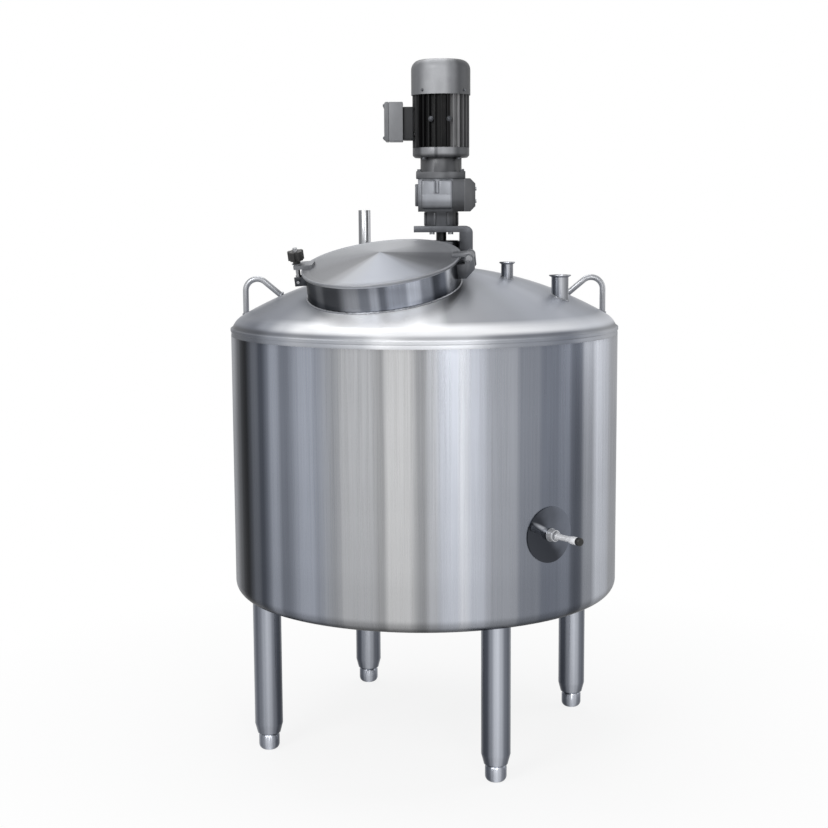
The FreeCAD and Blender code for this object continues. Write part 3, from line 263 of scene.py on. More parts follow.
def tones(finish, value, stops):
    """A ramp of greys or colours over a value from 0 to 1."""
    nodes, links = finish.node_tree.nodes, finish.node_tree.links
    ramp = nodes.new("ShaderNodeValToRGB")
    ramp.color_ramp.interpolation = "EASE"
    line = ramp.color_ramp.elements
    while len(line) < len(stops):
        line.new(0.5)
    for element, (place, colour) in zip(line, stops):
        element.position = place
        if isinstance(colour, (int, float)):
            colour = (colour, colour, colour)
        element.color = (*colour, 1)
    links.new(value, ramp.inputs["Fac"])
    return ramp.outputs["Color"]


def mixed(finish, kind, share, first, second):
    """Two colours blended by a share; each may be a socket, a number or a colour."""
    nodes, links = finish.node_tree.nodes, finish.node_tree.links
    mix = nodes.new("ShaderNodeMix")
    mix.data_type = "RGBA"
    mix.blend_type = kind
    for name, value in (("Factor_Float", share), ("A_Color", first), ("B_Color", second)):
        socket = next(s for s in mix.inputs if s.identifier == name)
        if isinstance(value, (int, float)):
            socket.default_value = value
        elif isinstance(value, tuple):
            socket.default_value = (*value, 1)
        else:
            links.new(value, socket)
    return next(s for s in mix.outputs if s.identifier == "Result_Color")


def scaled_to(finish, value, low, high, new_low, new_high):
    """A value from one range taken to another, and kept inside it."""
    nodes, links = finish.node_tree.nodes, finish.node_tree.links
    span = nodes.new("ShaderNodeMapRange")
    for name, number in (("From Min", low), ("From Max", high), ("To Min", new_low), ("To Max", new_high)):
        span.inputs[name].default_value = number
    links.new(value, span.inputs["Value"])
    return span.outputs["Result"]


def raise_surface(finish, shader, height, distance, strength=0.3):
    """Fine relief that only the light sees."""
    nodes, links = finish.node_tree.nodes, finish.node_tree.links
    bump = nodes.new("ShaderNodeBump")
    bump.inputs["Distance"].default_value = distance
    bump.inputs["Strength"].default_value = strength
    links.new(height, bump.inputs["Height"])
    links.new(bump.outputs["Normal"], shader.inputs["Normal"])


def brush(finish, shader, base, marks, shade, rough, depth):
    """Brush marks on a base colour: they shade it, roughen it and raise it a little."""
    links = finish.node_tree.links
    shades = scaled_to(finish, marks, NOISE_LOW, NOISE_HIGH, *shade)
    links.new(mixed(finish, "MULTIPLY", 1.0, base, shades), shader.inputs["Base Color"])
    links.new(scaled_to(finish, marks, NOISE_LOW, NOISE_HIGH, *rough), shader.inputs["Roughness"])
    raise_surface(finish, shader, marks, depth)


def stretched_noise(finish, first, first_scale, second, second_scale, layer=0.0, detail=4, roughness=0.6):
    """Noise over two measures, each with a scale of its own, so that it makes lines, rings or drifts."""
    across = maths(finish, "MULTIPLY", first, first_scale)
    along = maths(finish, "MULTIPLY", second, second_scale)
    return speckle(finish, joined_point(finish, across, layer, along), 1.0, detail, roughness)


def ring_noise(finish, turns, turn_scale, reach, reach_scale, layer=0.0, detail=3, roughness=0.55):
    """The marks of spinning: noise over the turn and the distance from the centre."""
    across = maths(finish, "MULTIPLY", turns, turn_scale)
    outward = maths(finish, "MULTIPLY", reach, reach_scale)
    return speckle(finish, joined_point(finish, across, outward, layer), 1.0, detail, roughness)


def blended(finish, first, first_share, second):
    """Two noises in one, by the first one's share."""
    rest = maths(finish, "MULTIPLY", second, round(1 - first_share, 4))
    return maths(finish, "MULTIPLY_ADD", first, first_share, rest)


def dim_edges(shader, share):
    """Steel that mirrors less at a slant."""
    shader.inputs["Specular Tint"].default_value = (share, share, share, 1)


def grey(level, blue=0.0):
    """A written grey from 0 to 255, a little blue if asked, as the shader takes it."""
    def straight(value):
        value = min(max(value / 255.0, 0), 1)
        return value / 12.92 if value <= 0.04045 else ((value + 0.055) / 1.055) ** 2.4
    return (straight(level - blue * 0.45), straight(level), straight(level + blue))


def band_stops(bands):
    """Ramp stops for bands written as start and end in turns, level and blue; a peak starts where it ends."""
    return [(place, grey(level, blue)) for start, end, level, blue in bands for place in sorted({start, end})]


def point_stops(points):
    """Ramp stops for points written as place, level and blue."""
    return [(place, grey(level, blue)) for place, level, blue in points]


def dimmed(finish, base, value, stops):
    """The base colour times a share that changes along a value."""
    low, high = stops[0][0], stops[-1][0]
    along = scaled_to(finish, value, low, high, 0.0, 1.0)
    shares = tones(finish, along, [((place - low) / (high - low), share) for place, share in stops])
    return mixed(finish, "MULTIPLY", 1.0, base, shares)


def patch_reach(finish, spot, centre, turned_by, spread):
    """Nought at the middle of a long patch and one on its edge, spread so far across and along."""
    x, y, _ = apart(finish, spot)
    squares = []
    for angle, half in ((turned_by, spread[0]), (turned_by + 90, spread[1])):
        way = Vector((math.cos(math.radians(angle)), math.sin(math.radians(angle)))) / half
        shifted = maths(finish, "MULTIPLY_ADD", y, way.y, -way.dot(Vector(centre)))
        squares.append(maths(finish, "POWER", maths(finish, "MULTIPLY_ADD", x, way.x, shifted), 2.0))
    return maths(finish, "SQRT", maths(finish, "ADD", *squares))


# Finishes of the sheet metal. Bands run once round the piece, the front at half a turn, and a colour ramp
# holds 32 stops at most, so the wall has a ramp for each side. A grey is a level from 0 to 255 and some blue.
# The bands stand for the streaks that the photo shows on the steel. These are partly the steel's own rolling streaks
# and partly mirrored surroundings, and both are painted into the colour, so the mirrored part is painted reflection.
# Their places and levels were typed in and corrected by measuring the photo beside the render.
STEEL = (0.6, 0.62, 0.65)
HEAD_GREY = (0.6, 0.6, 0.62)
BRUSHED, SPUN, TURNED, DRAWN, POLISHED = 0.00012, 0.00005, 0.00003, 0.00002, 0.00001  # how high the marks stand
# Painted reflections and highlights on the wall, by the turn: light and dark bands, one ramp for each side.
WALL_LEFT = [(0.04, 0.04, 159, 8), (0.14, 0.14, 125, 10), (0.20, 0.290, 200, 7), (0.312, 0.312, 98, 6),
             (0.318, 0.318, 50, 6), (0.3235, 0.328, 30, 6), (0.3366, 0.3366, 90, 8), (0.341, 0.346, 117, 9),
             (0.351, 0.355, 87, 10), (0.3597, 0.3597, 112, 11), (0.3685, 0.3725, 174, 12), (0.3805, 0.384, 132, 11),
             (0.402, 0.4095, 182, 12), (0.4155, 0.4155, 163, 11), (0.4224, 0.4224, 176, 8), (0.4285, 0.4315, 167, 5),
             (0.437, 0.459, 196, 3), (0.4655, 0.4685, 175, 2), (0.4725, 0.4895, 219, 1), (0.4945, 0.4975, 168, 3)]
WALL_RIGHT = [(0.500, 0.5005, 172, 3), (0.503, 0.509, 202, 5), (0.512, 0.512, 210, 9), (0.519, 0.5245, 224, 10),
              (0.527, 0.530, 240, 7), (0.534, 0.541, 218, 10), (0.551, 0.569, 183, 8), (0.575, 0.590, 152, 10),
              (0.5945, 0.609, 134, 12), (0.6125, 0.620, 142, 12), (0.627, 0.635, 99, 10), (0.6425, 0.6515, 169, 8),
              (0.6605, 0.680, 231, 9), (0.690, 0.74, 205, 6), (0.79, 0.86, 129, 9), (0.90, 0.95, 182, 6),
              (1.0, 1.0, 159, 8)]
# Painted shade by height: dark on the rounded lower edge and a little darker under the head's bead.
WALL_HEIGHTS = [(0.400, 0.18), (0.418, 0.29), (0.432, 0.54), (0.450, 0.76), (0.50, 0.77), (0.60, 0.84), (0.72, 0.90),
                (0.85, 0.97), (0.95, 1.0), (1.05, 0.97), (1.112, 0.95), (1.124, 0.88), (1.130, 0.78)]


def wall_steel():
    """Sheet with painted reflections as bands round it and fine brush lines over them, and painted shade under the
    head's bead and on the rounded lower edge.
    """
    finish, shader = new_finish("brushed wall sheet", STEEL, 0.3, 1.0)
    turns, _, height = around(finish, own_place(finish))
    far = maths(finish, "GREATER_THAN", turns, 0.5)
    left = tones(finish, turns, band_stops(WALL_LEFT))
    right = tones(finish, turns, band_stops(WALL_RIGHT))
    # The painted reflections, dimmed by height as painted shade.
    streaks = dimmed(finish, mixed(finish, "MIX", far, left, right), height, WALL_HEIGHTS)
    lines = stretched_noise(finish, turns, 420, height, 1.6)
    brush(finish, shader, streaks, lines, (0.93, 1.05), (0.22, 0.34), BRUSHED)
    dim_edges(shader, 0.6)
    return finish


def head_steel():
    """A spun head with painted reflections: broad bands on the crown, a painted highlight along the rolled shoulder,
    painted shade in the groove, bands on the bead below it and a dark painted reflection of the hinge bracket.
    """
    # Painted reflections by the turn: the crown's bands and white field in front, the shoulder's highlight and the
    # bead's bands.
    crown = [(0.0, 186, 4), (0.12, 168, 5), (0.24, 178, 5), (0.30, 108, 8), (0.355, 126, 9),
             (0.392, 156, 6), (0.422, 253, 2), (0.494, 254, 2), (0.508, 206, 3), (0.522, 146, 4),
             (0.545, 140, 5), (0.575, 153, 7), (0.615, 172, 9), (0.635, 178, 9), (0.66, 164, 9),
             (0.70, 150, 8), (0.76, 180, 5), (0.88, 168, 5), (1.0, 186, 4)]
    shoulder = [(0.0, 212, 4), (0.20, 222, 4), (0.28, 130, 8), (0.335, 104, 10), (0.355, 150, 9),
                (0.377, 206, 5), (0.397, 250, 2), (0.56, 250, 2), (0.605, 234, 4), (0.66, 216, 7),
                (0.72, 206, 6), (0.86, 222, 4), (1.0, 212, 4)]
    bead = [(0.0, 150, 6), (0.24, 170, 5), (0.305, 78, 8), (0.345, 88, 9), (0.372, 146, 9),
            (0.397, 176, 6), (0.42, 164, 7), (0.45, 176, 5), (0.47, 224, 3), (0.50, 214, 4),
            (0.53, 228, 5), (0.56, 166, 7), (0.585, 150, 9), (0.62, 122, 11), (0.65, 154, 8),
            (0.68, 176, 6), (0.72, 150, 6), (0.86, 174, 5), (1.0, 150, 6)]
    finish, shader = new_finish("spun head steel", HEAD_GREY, 0.4, 0.46)
    spot = own_place(finish)
    turns, reach, height = around(finish, spot)
    rings = ring_noise(finish, turns, 2.0, reach, 300.0)
    drift = ring_noise(finish, turns, 26.0, reach, 2.0, 1.3, 2, 0.5)
    on_shoulder = scaled_to(finish, reach, 0.480, 0.512, 0.0, 1.0)
    above, below = tones(finish, turns, point_stops(crown)), tones(finish, turns, point_stops(shoulder))
    lit = mixed(finish, "MIX", on_shoulder, above, below)
    on_bead = scaled_to(finish, height, 1.163, 1.154, 0.0, 1.0)
    lit = mixed(finish, "MIX", on_bead, lit, tones(finish, turns, point_stops(bead)))
    # Painted shade: darker at the head's lower rim and in the groove between shoulder and bead.
    lit = dimmed(finish, lit, height, [(1.120, 0.7), (1.130, 1.0), (1.144, 1.0), (1.151, 0.62), (1.160, 1.0)])
    # Painted reflection of the hinge bracket: a long dark patch on the crown beside the hinge.
    hinge_mirrored = patch_reach(finish, spot, (0.080, -0.322), -14, (0.015, 0.086))
    lit = dimmed(finish, lit, hinge_mirrored, [(0.0, 0.20), (0.55, 0.30), (1.0, 0.72), (1.5, 1.0)])
    brush(finish, shader, lit, blended(finish, drift, 0.62, rings), (0.92, 1.05), (0.34, 0.48), SPUN)
    return finish


def lid_steel():
    """A cone spun from thin sheet, with painted reflections by the turn: one broad painted highlight wedge to the
    front and darker bands to its right.
    """
    wedge = [(0.0, 172, 4), (0.06, 168, 4), (0.13, 150, 4), (0.22, 134, 4), (0.33, 118, 3),
             (0.38, 118, 3), (0.410, 140, 3), (0.440, 158, 5), (0.50, 158, 8), (0.555, 154, 8),
             (0.600, 155, 8), (0.63, 138, 6), (0.672, 106, 4), (0.715, 98, 4), (0.765, 112, 4),
             (0.80, 150, 4), (0.87, 160, 4), (0.92, 172, 4), (1.0, 172, 4)]
    finish, shader = new_finish("spun lid steel", HEAD_GREY, 0.42, 0.6)
    turns, reach, _ = around(finish, own_place(finish, LID_SPOT, LID_EULER))
    rings = ring_noise(finish, turns, 3.0, reach, 420.0)
    brush(finish, shader, tones(finish, turns, point_stops(wedge)), rings, (0.93, 1.04), (0.38, 0.52), SPUN)
    return finish


def collar_steel():
    """Polished flat bar rolled to a ring: dark and light reflections painted side by side in its colour, and painted
    light within, a plain pale grey that mirrors less.
    """
    bands = [(0.0, 0.20, 126, 5), (0.24, 0.29, 90, 5), (0.310, 0.356, 80, 4), (0.370, 0.380, 104, 4),
             (0.394, 0.424, 70, 4), (0.456, 0.470, 142, 6), (0.480, 0.493, 116, 8), (0.503, 0.512, 158, 9),
             (0.519, 0.526, 104, 9), (0.537, 0.568, 148, 11), (0.578, 0.598, 198, 12), (0.608, 0.625, 142, 10),
             (0.638, 0.668, 70, 7), (0.686, 0.704, 142, 5), (0.716, 0.74, 108, 4), (0.80, 1.0, 112, 5)]
    finish, shader = new_finish("polished collar steel", STEEL, 0.3, 1.0)
    turns, reach, height = around(finish, own_place(finish, LID_SPOT, LID_EULER))
    lines = stretched_noise(finish, turns, 260, height, 5.0)
    inner = scaled_to(finish, reach, 0.1984, 0.1994, 1.0, 0.0)
    shown = mixed(finish, "MIX", inner, tones(finish, turns, band_stops(bands)), grey(212, 4))
    brush(finish, shader, shown, lines, (0.88, 1.08), (0.16, 0.26), DRAWN)
    dim_edges(shader, 0.42)
    finish.node_tree.links.new(scaled_to(finish, inner, 0.0, 1.0, 1.0, 0.45), shader.inputs["Metallic"])
    return finish


def tube_steel(name, centre, light=212, dark=74, blue=9, turned_by=0, mirrored=False):
    """A drawn tube with painted reflections about its own axis: one painted highlight in front, painted dark to its
    left, half dark to its right.
    """
    bands = [(0.0, 150), (0.12, 112), (0.24, 140), (0.30, dark + 40), (0.345, dark), (0.388, dark + 6),
             (0.44, (light + dark) / 2), (0.487, light - 10), (0.512, light), (0.548, light - 24), (0.60, dark + 50),
             (0.645, dark + 26), (0.70, dark + 56), (0.80, 150), (1.0, 150)]
    if mirrored:
        bands = [(1.0 - place, level) for place, level in reversed(bands)]
    finish, shader = new_finish(name, STEEL, 0.3, 1.0)
    turns, _, height = around(finish, own_place(finish, centre, (0, 0, math.radians(turned_by))))
    streaks = tones(finish, turns, [(place, grey(level, blue)) for place, level in bands])
    lines = stretched_noise(finish, turns, 90, height, 1.5)
    drift = stretched_noise(finish, turns, 10.0, height, 0.8, 3.7, 2, 0.5)
    brush(finish, shader, streaks, blended(finish, drift, 0.55, lines), (0.96, 1.03), (0.22, 0.32), POLISHED)
    return finish


def plain_steel(name, level, rough, blue=4, scale=60.0, metal=1.0, depth=TURNED):
    """Steel with no one direction: pickled, turned or tumbled."""
    finish, shader = new_finish(name, grey(level, blue), 0.3, metal)
    marks = speckle(finish, own_place(finish), scale, 5, 0.6)
    brush(finish, shader, grey(level, blue), marks, (0.86, 1.08), rough, depth)
    return finish


def drive_shaft_steel():
    """The agitator's shaft: nearly black above the seal, plain bright steel below it."""
    finish, shader = new_finish("agitator shaft steel", grey(186, 4), 0.3, 1.0)
    spot = own_place(finish)
    marks = speckle(finish, spot, 60.0, 5, 0.6)
    oiled = dimmed(finish, grey(186, 4), apart(finish, spot)[2], [(1.33, 1.0), (1.37, 0.06), (1.50, 0.06)])
    brush(finish, shader, oiled, marks, (0.86, 1.08), (0.26, 0.40), TURNED)
    return finish


def pad_steel():
    """The port's pad: polished, with painted reflections: dark where it would mirror the floor, near the wall's own
    tone on its lit side, and a pale streak that stands for the probe's reflection.
    """
    slanted = [(0.0, 70, 6), (0.40, 64, 6), (0.66, 104, 9), (1.0, 124, 11)]
    finish, shader = new_finish("polished pad steel", grey(84, 9), 0.15, 1.0)
    spot = own_place(finish, PORT_PLACE.to_translation(), PORT_PLACE.to_euler())
    x, y, _ = apart(finish, spot)
    slant = maths(finish, "MULTIPLY_ADD", y, 0.55, x)
    clouds = speckle(finish, spot, 16.0, 3, 0.5)
    place = maths(finish, "MULTIPLY_ADD", clouds, 0.05, slant)
    shades = tones(finish, scaled_to(finish, place, -0.06, 0.10, 0.0, 1.0), point_stops(slanted))
    # Painted reflection of the probe: a pale streak across the pad.
    probe_mirrored = patch_reach(finish, spot, (-0.0235, 0.0178), 60, (0.0062, 0.036))
    streak = scaled_to(finish, probe_mirrored, 0.40, 1.15, 0.9, 0.0)
    shades = mixed(finish, "MIX", streak, shades, grey(192, 7))
    brush(finish, shader, shades, clouds, (0.94, 1.04), (0.08, 0.16), POLISHED)
    return finish


# Finishes of the drive
def paint(name, level, blue, rough, wear, metal=0.0, gloss=0.5, bands=None, heights=None, widths=None):
    """Sprayed paint on a casting: an orange-peel surface, dust in it and worn lighter flecks.

    bands paint light and shade by the turn about the drive's axis, a lit side and a shaded side; heights and widths
    paint shade by place."""
    finish, shader = new_finish(name, grey(level, blue), 0.45, metal)
    shader.inputs["Specular IOR Level"].default_value = gloss
    spot = own_place(finish)
    centred = own_place(finish, (DRIVE_X, 0, 0))
    turns, _, height = around(finish, centred)
    peel = speckle(finish, spot, 420.0, 2, 0.4)
    dust = speckle(finish, spot, 14.0, 5, 0.6)
    flecks = tones(finish, speckle(finish, spot, 95.0, 4, 0.7), [(0.0, 0.0), (0.66, 0.0), (0.74, wear), (1.0, wear)])
    # Painted light and shade by the turn about the drive's axis.
    base = tones(finish, turns, [(place, grey(shade, blue)) for place, shade in bands]) if bands else grey(level, blue)
    # Painted shade: darker by height and by place across the drive.
    if heights:
        base = dimmed(finish, base, height, heights)
    if widths:
        base = dimmed(finish, base, apart(finish, centred)[0], widths)
    base = mixed(finish, "MULTIPLY", 1.0, base, scaled_to(finish, dust, DUST_LOW, DUST_HIGH, 0.84, 1.12))
    worn = mixed(finish, "MIX", flecks, base, grey(min(level + 40, 250), blue))
    finish.node_tree.links.new(worn, shader.inputs["Base Color"])
    finish.node_tree.links.new(scaled_to(finish, dust, DUST_LOW, DUST_HIGH, *rough), shader.inputs["Roughness"])
    raise_surface(finish, shader, peel, 0.0004, 0.25)
    return finish


def moulding(name, level, rough):
    """Moulded plastic or rubber with a fine grain."""
    finish, shader = new_finish(name, grey(level), rough, 0.0)
    spot = own_place(finish)
    grain = speckle(finish, spot, 900.0, 2)
    cloudy = scaled_to(finish, speckle(finish, spot, 30.0, 4), DUST_LOW, DUST_HIGH, 0.8, 1.3)
    finish.node_tree.links.new(mixed(finish, "MULTIPLY", 1.0, grey(level), cloudy), shader.inputs["Base Color"])
    raise_surface(finish, shader, grain, 0.0003, 0.3)
    return finish


def wool():
    """Mineral wool, its fibres lying flat."""
    finish, shader = new_finish("mineral wool", grey(150, -20), 0.95, 0.0)
    fibres = speckle(finish, own_place(finish, stretch=(1, 1, 6)), 90.0, 6, 0.7)
    shades = tones(finish, fibres, [(0.3, (0.24, 0.18, 0.08)), (0.7, (0.52, 0.44, 0.24))])
    finish.node_tree.links.new(shades, shader.inputs["Base Color"])
    raise_surface(finish, shader, fibres, 0.003, 0.6)
    return finish


def laminated_core():
    """Stamped sheets on top of each other."""
    finish, shader = new_finish("laminated core", grey(96, 2), 0.45, 0.9)
    sheets = maths(finish, "SINE", maths(finish, "MULTIPLY", apart(finish, own_place(finish))[2], 9000.0))
    shade = scaled_to(finish, sheets, -1.0, 1.0, 0.6, 1.1)
    finish.node_tree.links.new(mixed(finish, "MULTIPLY", 1.0, grey(110, 2), shade), shader.inputs["Base Color"])
    return finish


# One finish for each material slot of the frame, and for each node that needs one of its own
FINISHES = {
    "cladding_steel": wall_steel(),
    "head_steel": head_steel(),
    "lid_steel": lid_steel(),
    "collar_steel": collar_steel(),
    "polished_steel": plain_steel("polished fittings steel", 176, rough=(0.28, 0.36), scale=24.0, metal=0.7,
                                  depth=POLISHED),
    "foot_steel": plain_steel("turned foot steel", 150, blue=8, rough=(0.24, 0.4)),
    "pad_steel": pad_steel(),
    "agitator_shaft": drive_shaft_steel(),
    "vessel_steel": plain_steel("pickled vessel steel", 240, blue=3, rough=(0.36, 0.5), scale=24.0, metal=0.1),
    "bracket_steel": plain_steel("sawn bracket steel", 74, rough=(0.3, 0.5)),
    "pin_steel": plain_steel("bright pin steel", 160, blue=3, rough=(0.2, 0.34)),
    "gear_steel": plain_steel("oiled gear steel", 128, blue=2, rough=(0.2, 0.34)),
    "bearing_steel": plain_steel("bearing steel", 190, blue=2, rough=(0.12, 0.24)),
    "core_iron": laminated_core(),
    # Painted shade: darker low on the neck and under the housing, on its left edge and on its right side.
    "gearbox_paint": paint(
        "silver gearbox paint", 150, blue=6, rough=(0.30, 0.46), wear=0.3, metal=0.4,
        heights=[(1.400, 0.34), (1.438, 0.34), (1.450, 0.16), (1.464, 0.30), (1.478, 0.62), (1.492, 1.0), (1.532, 1.0),
                 (1.546, 0.7)],
        widths=[(-0.070, 0.42), (-0.052, 0.78), (-0.040, 1.0), (0.026, 1.0), (0.034, 0.30), (0.050, 0.26),
                (0.060, 0.26)]),
    "cowl_paint": paint("grey cowl paint", 122, blue=4, rough=(0.36, 0.50), wear=0.15, metal=0.15),
    # Painted highlights and shade by the turn: lighter strips right of the front, darkest at the front.
    "frame_paint": paint(
        "black motor paint", 30, blue=1, rough=(0.40, 0.6), wear=0.06, gloss=0.2,
        bands=[(0.0, 34), (0.25, 44), (0.29, 70), (0.33, 62), (0.35, 16), (0.556, 16), (0.568, 128), (0.606, 140),
               (0.62, 98), (0.70, 96), (0.80, 40), (1.0, 34)]),
    "black_plastic": moulding("black moulding", 34, 0.45),
    "fan_plastic": moulding("grey fan moulding", 84, 0.5),
    "seal_rubber": moulding("white seal rubber", 205, 0.6),
    "mineral_wool": wool(),
    # Painted light and shade by the turn: lit to the front, shaded to the right.
    "fan_cowl": paint(
        "cowl paint, lit side", 130, blue=3, rough=(0.36, 0.50), wear=0.12, metal=0.15, gloss=0.4,
        bands=[(0.0, 84), (0.20, 96), (0.28, 92), (0.36, 112), (0.425, 160), (0.515, 166), (0.56, 132), (0.61, 78),
               (0.72, 70), (0.85, 84), (1.0, 84)]),
    # Painted light and shade by the turn, and painted shade on its lower edge.
    "front_end_shield": paint(
        "end shield casting", 120, blue=3, rough=(0.34, 0.48), wear=0.2, metal=0.3,
        bands=[(0.0, 70), (0.30, 62), (0.36, 74), (0.390, 132), (0.455, 138), (0.467, 92), (0.474, 92), (0.486, 142),
               (0.555, 146), (0.60, 78), (0.68, 60), (1.0, 70)],
        heights=[(1.600, 0.20), (1.606, 0.42), (1.613, 1.0), (1.630, 1.0)]),
    # Painted light and shade by the turn, and painted shade by height.
    "input_flange": paint(
        "input flange paint", 104, blue=3, rough=(0.34, 0.48), wear=0.2, metal=0.3,
        bands=[(0.0, 70), (0.30, 66), (0.36, 84), (0.43, 108), (0.49, 116), (0.545, 84), (0.58, 92), (0.62, 62),
               (0.70, 52), (1.0, 70)],
        heights=[(1.540, 0.7), (1.550, 1.0), (1.562, 1.0), (1.566, 0.8), (1.594, 0.7), (1.604, 0.4)]),
    # Painted highlight: a light strip across the middle, painted shade to each side.
    "gearbox_side_cover": paint(
        "side cover paint", 102, blue=3, rough=(0.34, 0.5), wear=0.2, metal=0.3,
        widths=[(0.020, 0.5), (0.046, 0.55), (0.052, 0.95), (0.060, 1.0), (0.066, 0.6), (0.090, 0.55)]),
    # Painted shade: dark from its edge toward the motor.
    "terminal_box": paint(
        "terminal box paint", 132, blue=3, rough=(0.4, 0.55), wear=0.1, metal=0.1, gloss=0.4,
        widths=[(-0.160, 0.8), (-0.145, 1.0), (-0.104, 0.9), (-0.095, 0.16), (-0.060, 0.16)]),
    # Painted shade: the skirt's near-black stands for the shaded side of the terminal box.
    "terminal_skirt": paint("dark terminal skirt paint", 52, blue=2, rough=(0.4, 0.55), wear=0.1, metal=0.1,
                            gloss=0.25),
    "terminal_cover": paint("terminal cover paint", 118, blue=3, rough=(0.38, 0.52), wear=0.15, metal=0.1, gloss=0.4),
    "temperature_probe": plain_steel("bright probe steel", 246, blue=2, rough=(0.34, 0.46), metal=0.2),
    "drive_bracket": plain_steel("drive bracket steel", 92, rough=(0.3, 0.5)),
    "thermowell": plain_steel("bright boss steel", 200, blue=3, rough=(0.30, 0.42), metal=0.5),
    "hinge_bracket": plain_steel("hinge bracket steel", 112, rough=(0.28, 0.44), metal=0.8),
    "lid_hinge_arm": plain_steel("hinge arm steel", 132, rough=(0.28, 0.44), metal=0.8),
    "seal_neck": plain_steel("bright seal neck steel", 200, blue=3, rough=(0.24, 0.38)),
    "seal_housing": plain_steel("seal housing steel", 112, rough=(0.24, 0.40)),
    # The pipes' bands are painted reflections and highlights.
    "vent_pipe": tube_steel("vent tube", (*VENT, 0), light=200, dark=128, blue=3),
    "spray_nozzle": tube_steel("spray nozzle tube", (*SPRAY, 0), light=214, dark=104, blue=5),
    "charge_nozzle": tube_steel("charge nozzle tube", (*CHARGE, 0), light=214, dark=104, blue=5),
}
FINISHES["manway_collar"] = FINISHES["collar_steel"]
# Legs and feet carry painted reflections and highlights placed for each leg.
for leg_name, leg_spot in LEG_SPOTS.items():
    shown = leg_name.replace("_", " ")
    look = {"light": 190, "turned_by": 9, "mirrored": True} if leg_name == "front_left" else {}
    FINISHES["leg_" + leg_name] = tube_steel("leg tube, " + shown, (*leg_spot, 0), **look)
    FINISHES["foot_" + leg_name] = tube_steel("foot, " + shown, (*leg_spot, 0), **{**look, "light": 232, "dark": 96})
RIM = plain_steel("rolled rim steel", 146, blue=5, rough=(0.34, 0.42), scale=24.0, metal=0.5, depth=POLISHED)
WELD = plain_steel("weld bead", 150, blue=5, rough=(0.22, 0.38), scale=180.0)
BOLT = plain_steel("bright bolt steel", 168, rough=(0.24, 0.38), scale=120.0)
DULL_BOLT = plain_steel("dull bolt steel", 104, rough=(0.36, 0.50), scale=120.0)
DARK_BOLT = plain_steel("dark bolt steel", 82, rough=(0.40, 0.54), scale=120.0)


def coat(piece, finish):
    piece.data.materials.clear()
    piece.data.materials.append(finish)


for node_name, node in NODES.items():
    for holder in node.material_slots:
        slot_name = holder.material.name.split(".")[0] if holder.material else "polished_steel"
        holder.material = FINISHES.get(node_name) or FINISHES.get(slot_name) or FINISHES["polished_steel"]


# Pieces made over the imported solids
SMOOTH_ANGLE, WELD_ANGLE, EDGE_ANGLE, FLAT_ANGLE = 40, 70, 35, 0.8  # degrees
MERGE_GAP = 0.00001


def choose(piece):
    """Makes the piece the only one that is selected, and the active one."""
    bpy.ops.object.select_all(action="DESELECT")
    piece.select_set(True)
    bpy.context.view_layer.objects.active = piece


def settle(piece, body, finish, place=None, angle=SMOOTH_ANGLE):
    """Puts the piece's place into its mesh, smooths it, coats it and hangs it on its body."""
    choose(piece)
    if place is not None:
        piece.matrix_world = place @ piece.matrix_world
    bpy.ops.object.transform_apply(location=True, rotation=True, scale=True)
    bpy.ops.object.shade_smooth_by_angle(angle=math.radians(angle))
    coat(piece, finish)
    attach(piece, body)


def ease_edges(piece, width, segments=2):
    choose(piece)
    bevel = piece.modifiers.new("eased", "BEVEL")
    bevel.width = width
    bevel.segments = segments
    bevel.limit_method = "ANGLE"
    bevel.angle_limit = math.radians(EDGE_ANGLE)
    bpy.ops.object.modifier_apply(modifier="eased")


def eased_copy(node_name, width):
    """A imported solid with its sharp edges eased, which shows in its place."""
    node = NODES[node_name]
    body = node["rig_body"]
    choose(node)
    bpy.ops.object.duplicate()
    piece = bpy.context.object
    piece.parent = None
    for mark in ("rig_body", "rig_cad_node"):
        del piece[mark]
    piece.name = "eased_" + node_name
    bpy.ops.object.mode_set(mode="EDIT")
    bpy.ops.mesh.select_all(action="SELECT")
    bpy.ops.mesh.remove_doubles(threshold=MERGE_GAP)
    bpy.ops.mesh.dissolve_limited(angle_limit=math.radians(FLAT_ANGLE))
    bpy.ops.object.mode_set(mode="OBJECT")
    ease_edges(piece, width)
    settle(piece, body, node.material_slots[0].material)
    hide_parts(node_name)


def gather(name, parts):
    """Joins parts of one make into a single piece."""
    bpy.ops.object.select_all(action="DESELECT")
    for part in parts:
        part.select_set(True)
    bpy.context.view_layer.objects.active = parts[0]
    if len(parts) > 1:
        bpy.ops.object.join()
    piece = bpy.context.object
    piece.name = name
    return piece


def slab(size, spot, edge, segments=2):
    """A block with eased edges."""
    bpy.ops.mesh.primitive_cube_add(size=1, location=spot)
    part = bpy.context.object
    part.scale = size
    choose(part)
    bpy.ops.object.transform_apply(location=False, rotation=False, scale=True)
    ease_edges(part, edge, segments)
    return part


def post(radius, depth, spot, sides, edge, axis=(0, 0, 1)):
    """A round or many-sided post with eased edges, whose middle is at the spot."""
    turn = Vector(axis).to_track_quat("Z", "Y").to_euler()
    bpy.ops.mesh.primitive_cylinder_add(vertices=sides, radius=radius, depth=depth, location=spot, rotation=turn)
    part = bpy.context.object
    ease_edges(part, edge)
    return part


def seat_place(seat, axis):
    """Stands a piece with its foot on the seat, looking along the axis."""
    return Matrix.Translation(seat) @ Vector(axis).to_track_quat("Z", "Y").to_matrix().to_4x4()


def copies(first, places):
    """Copies of a piece, each with its own mesh, one at each place; the piece itself takes the first place."""
    row = [first]
    for place in places[1:]:
        choose(first)
        bpy.ops.object.duplicate()
        row.append(bpy.context.object)
    for part, place in zip(row, places):
        part.matrix_world = place @ part.matrix_world
    return row


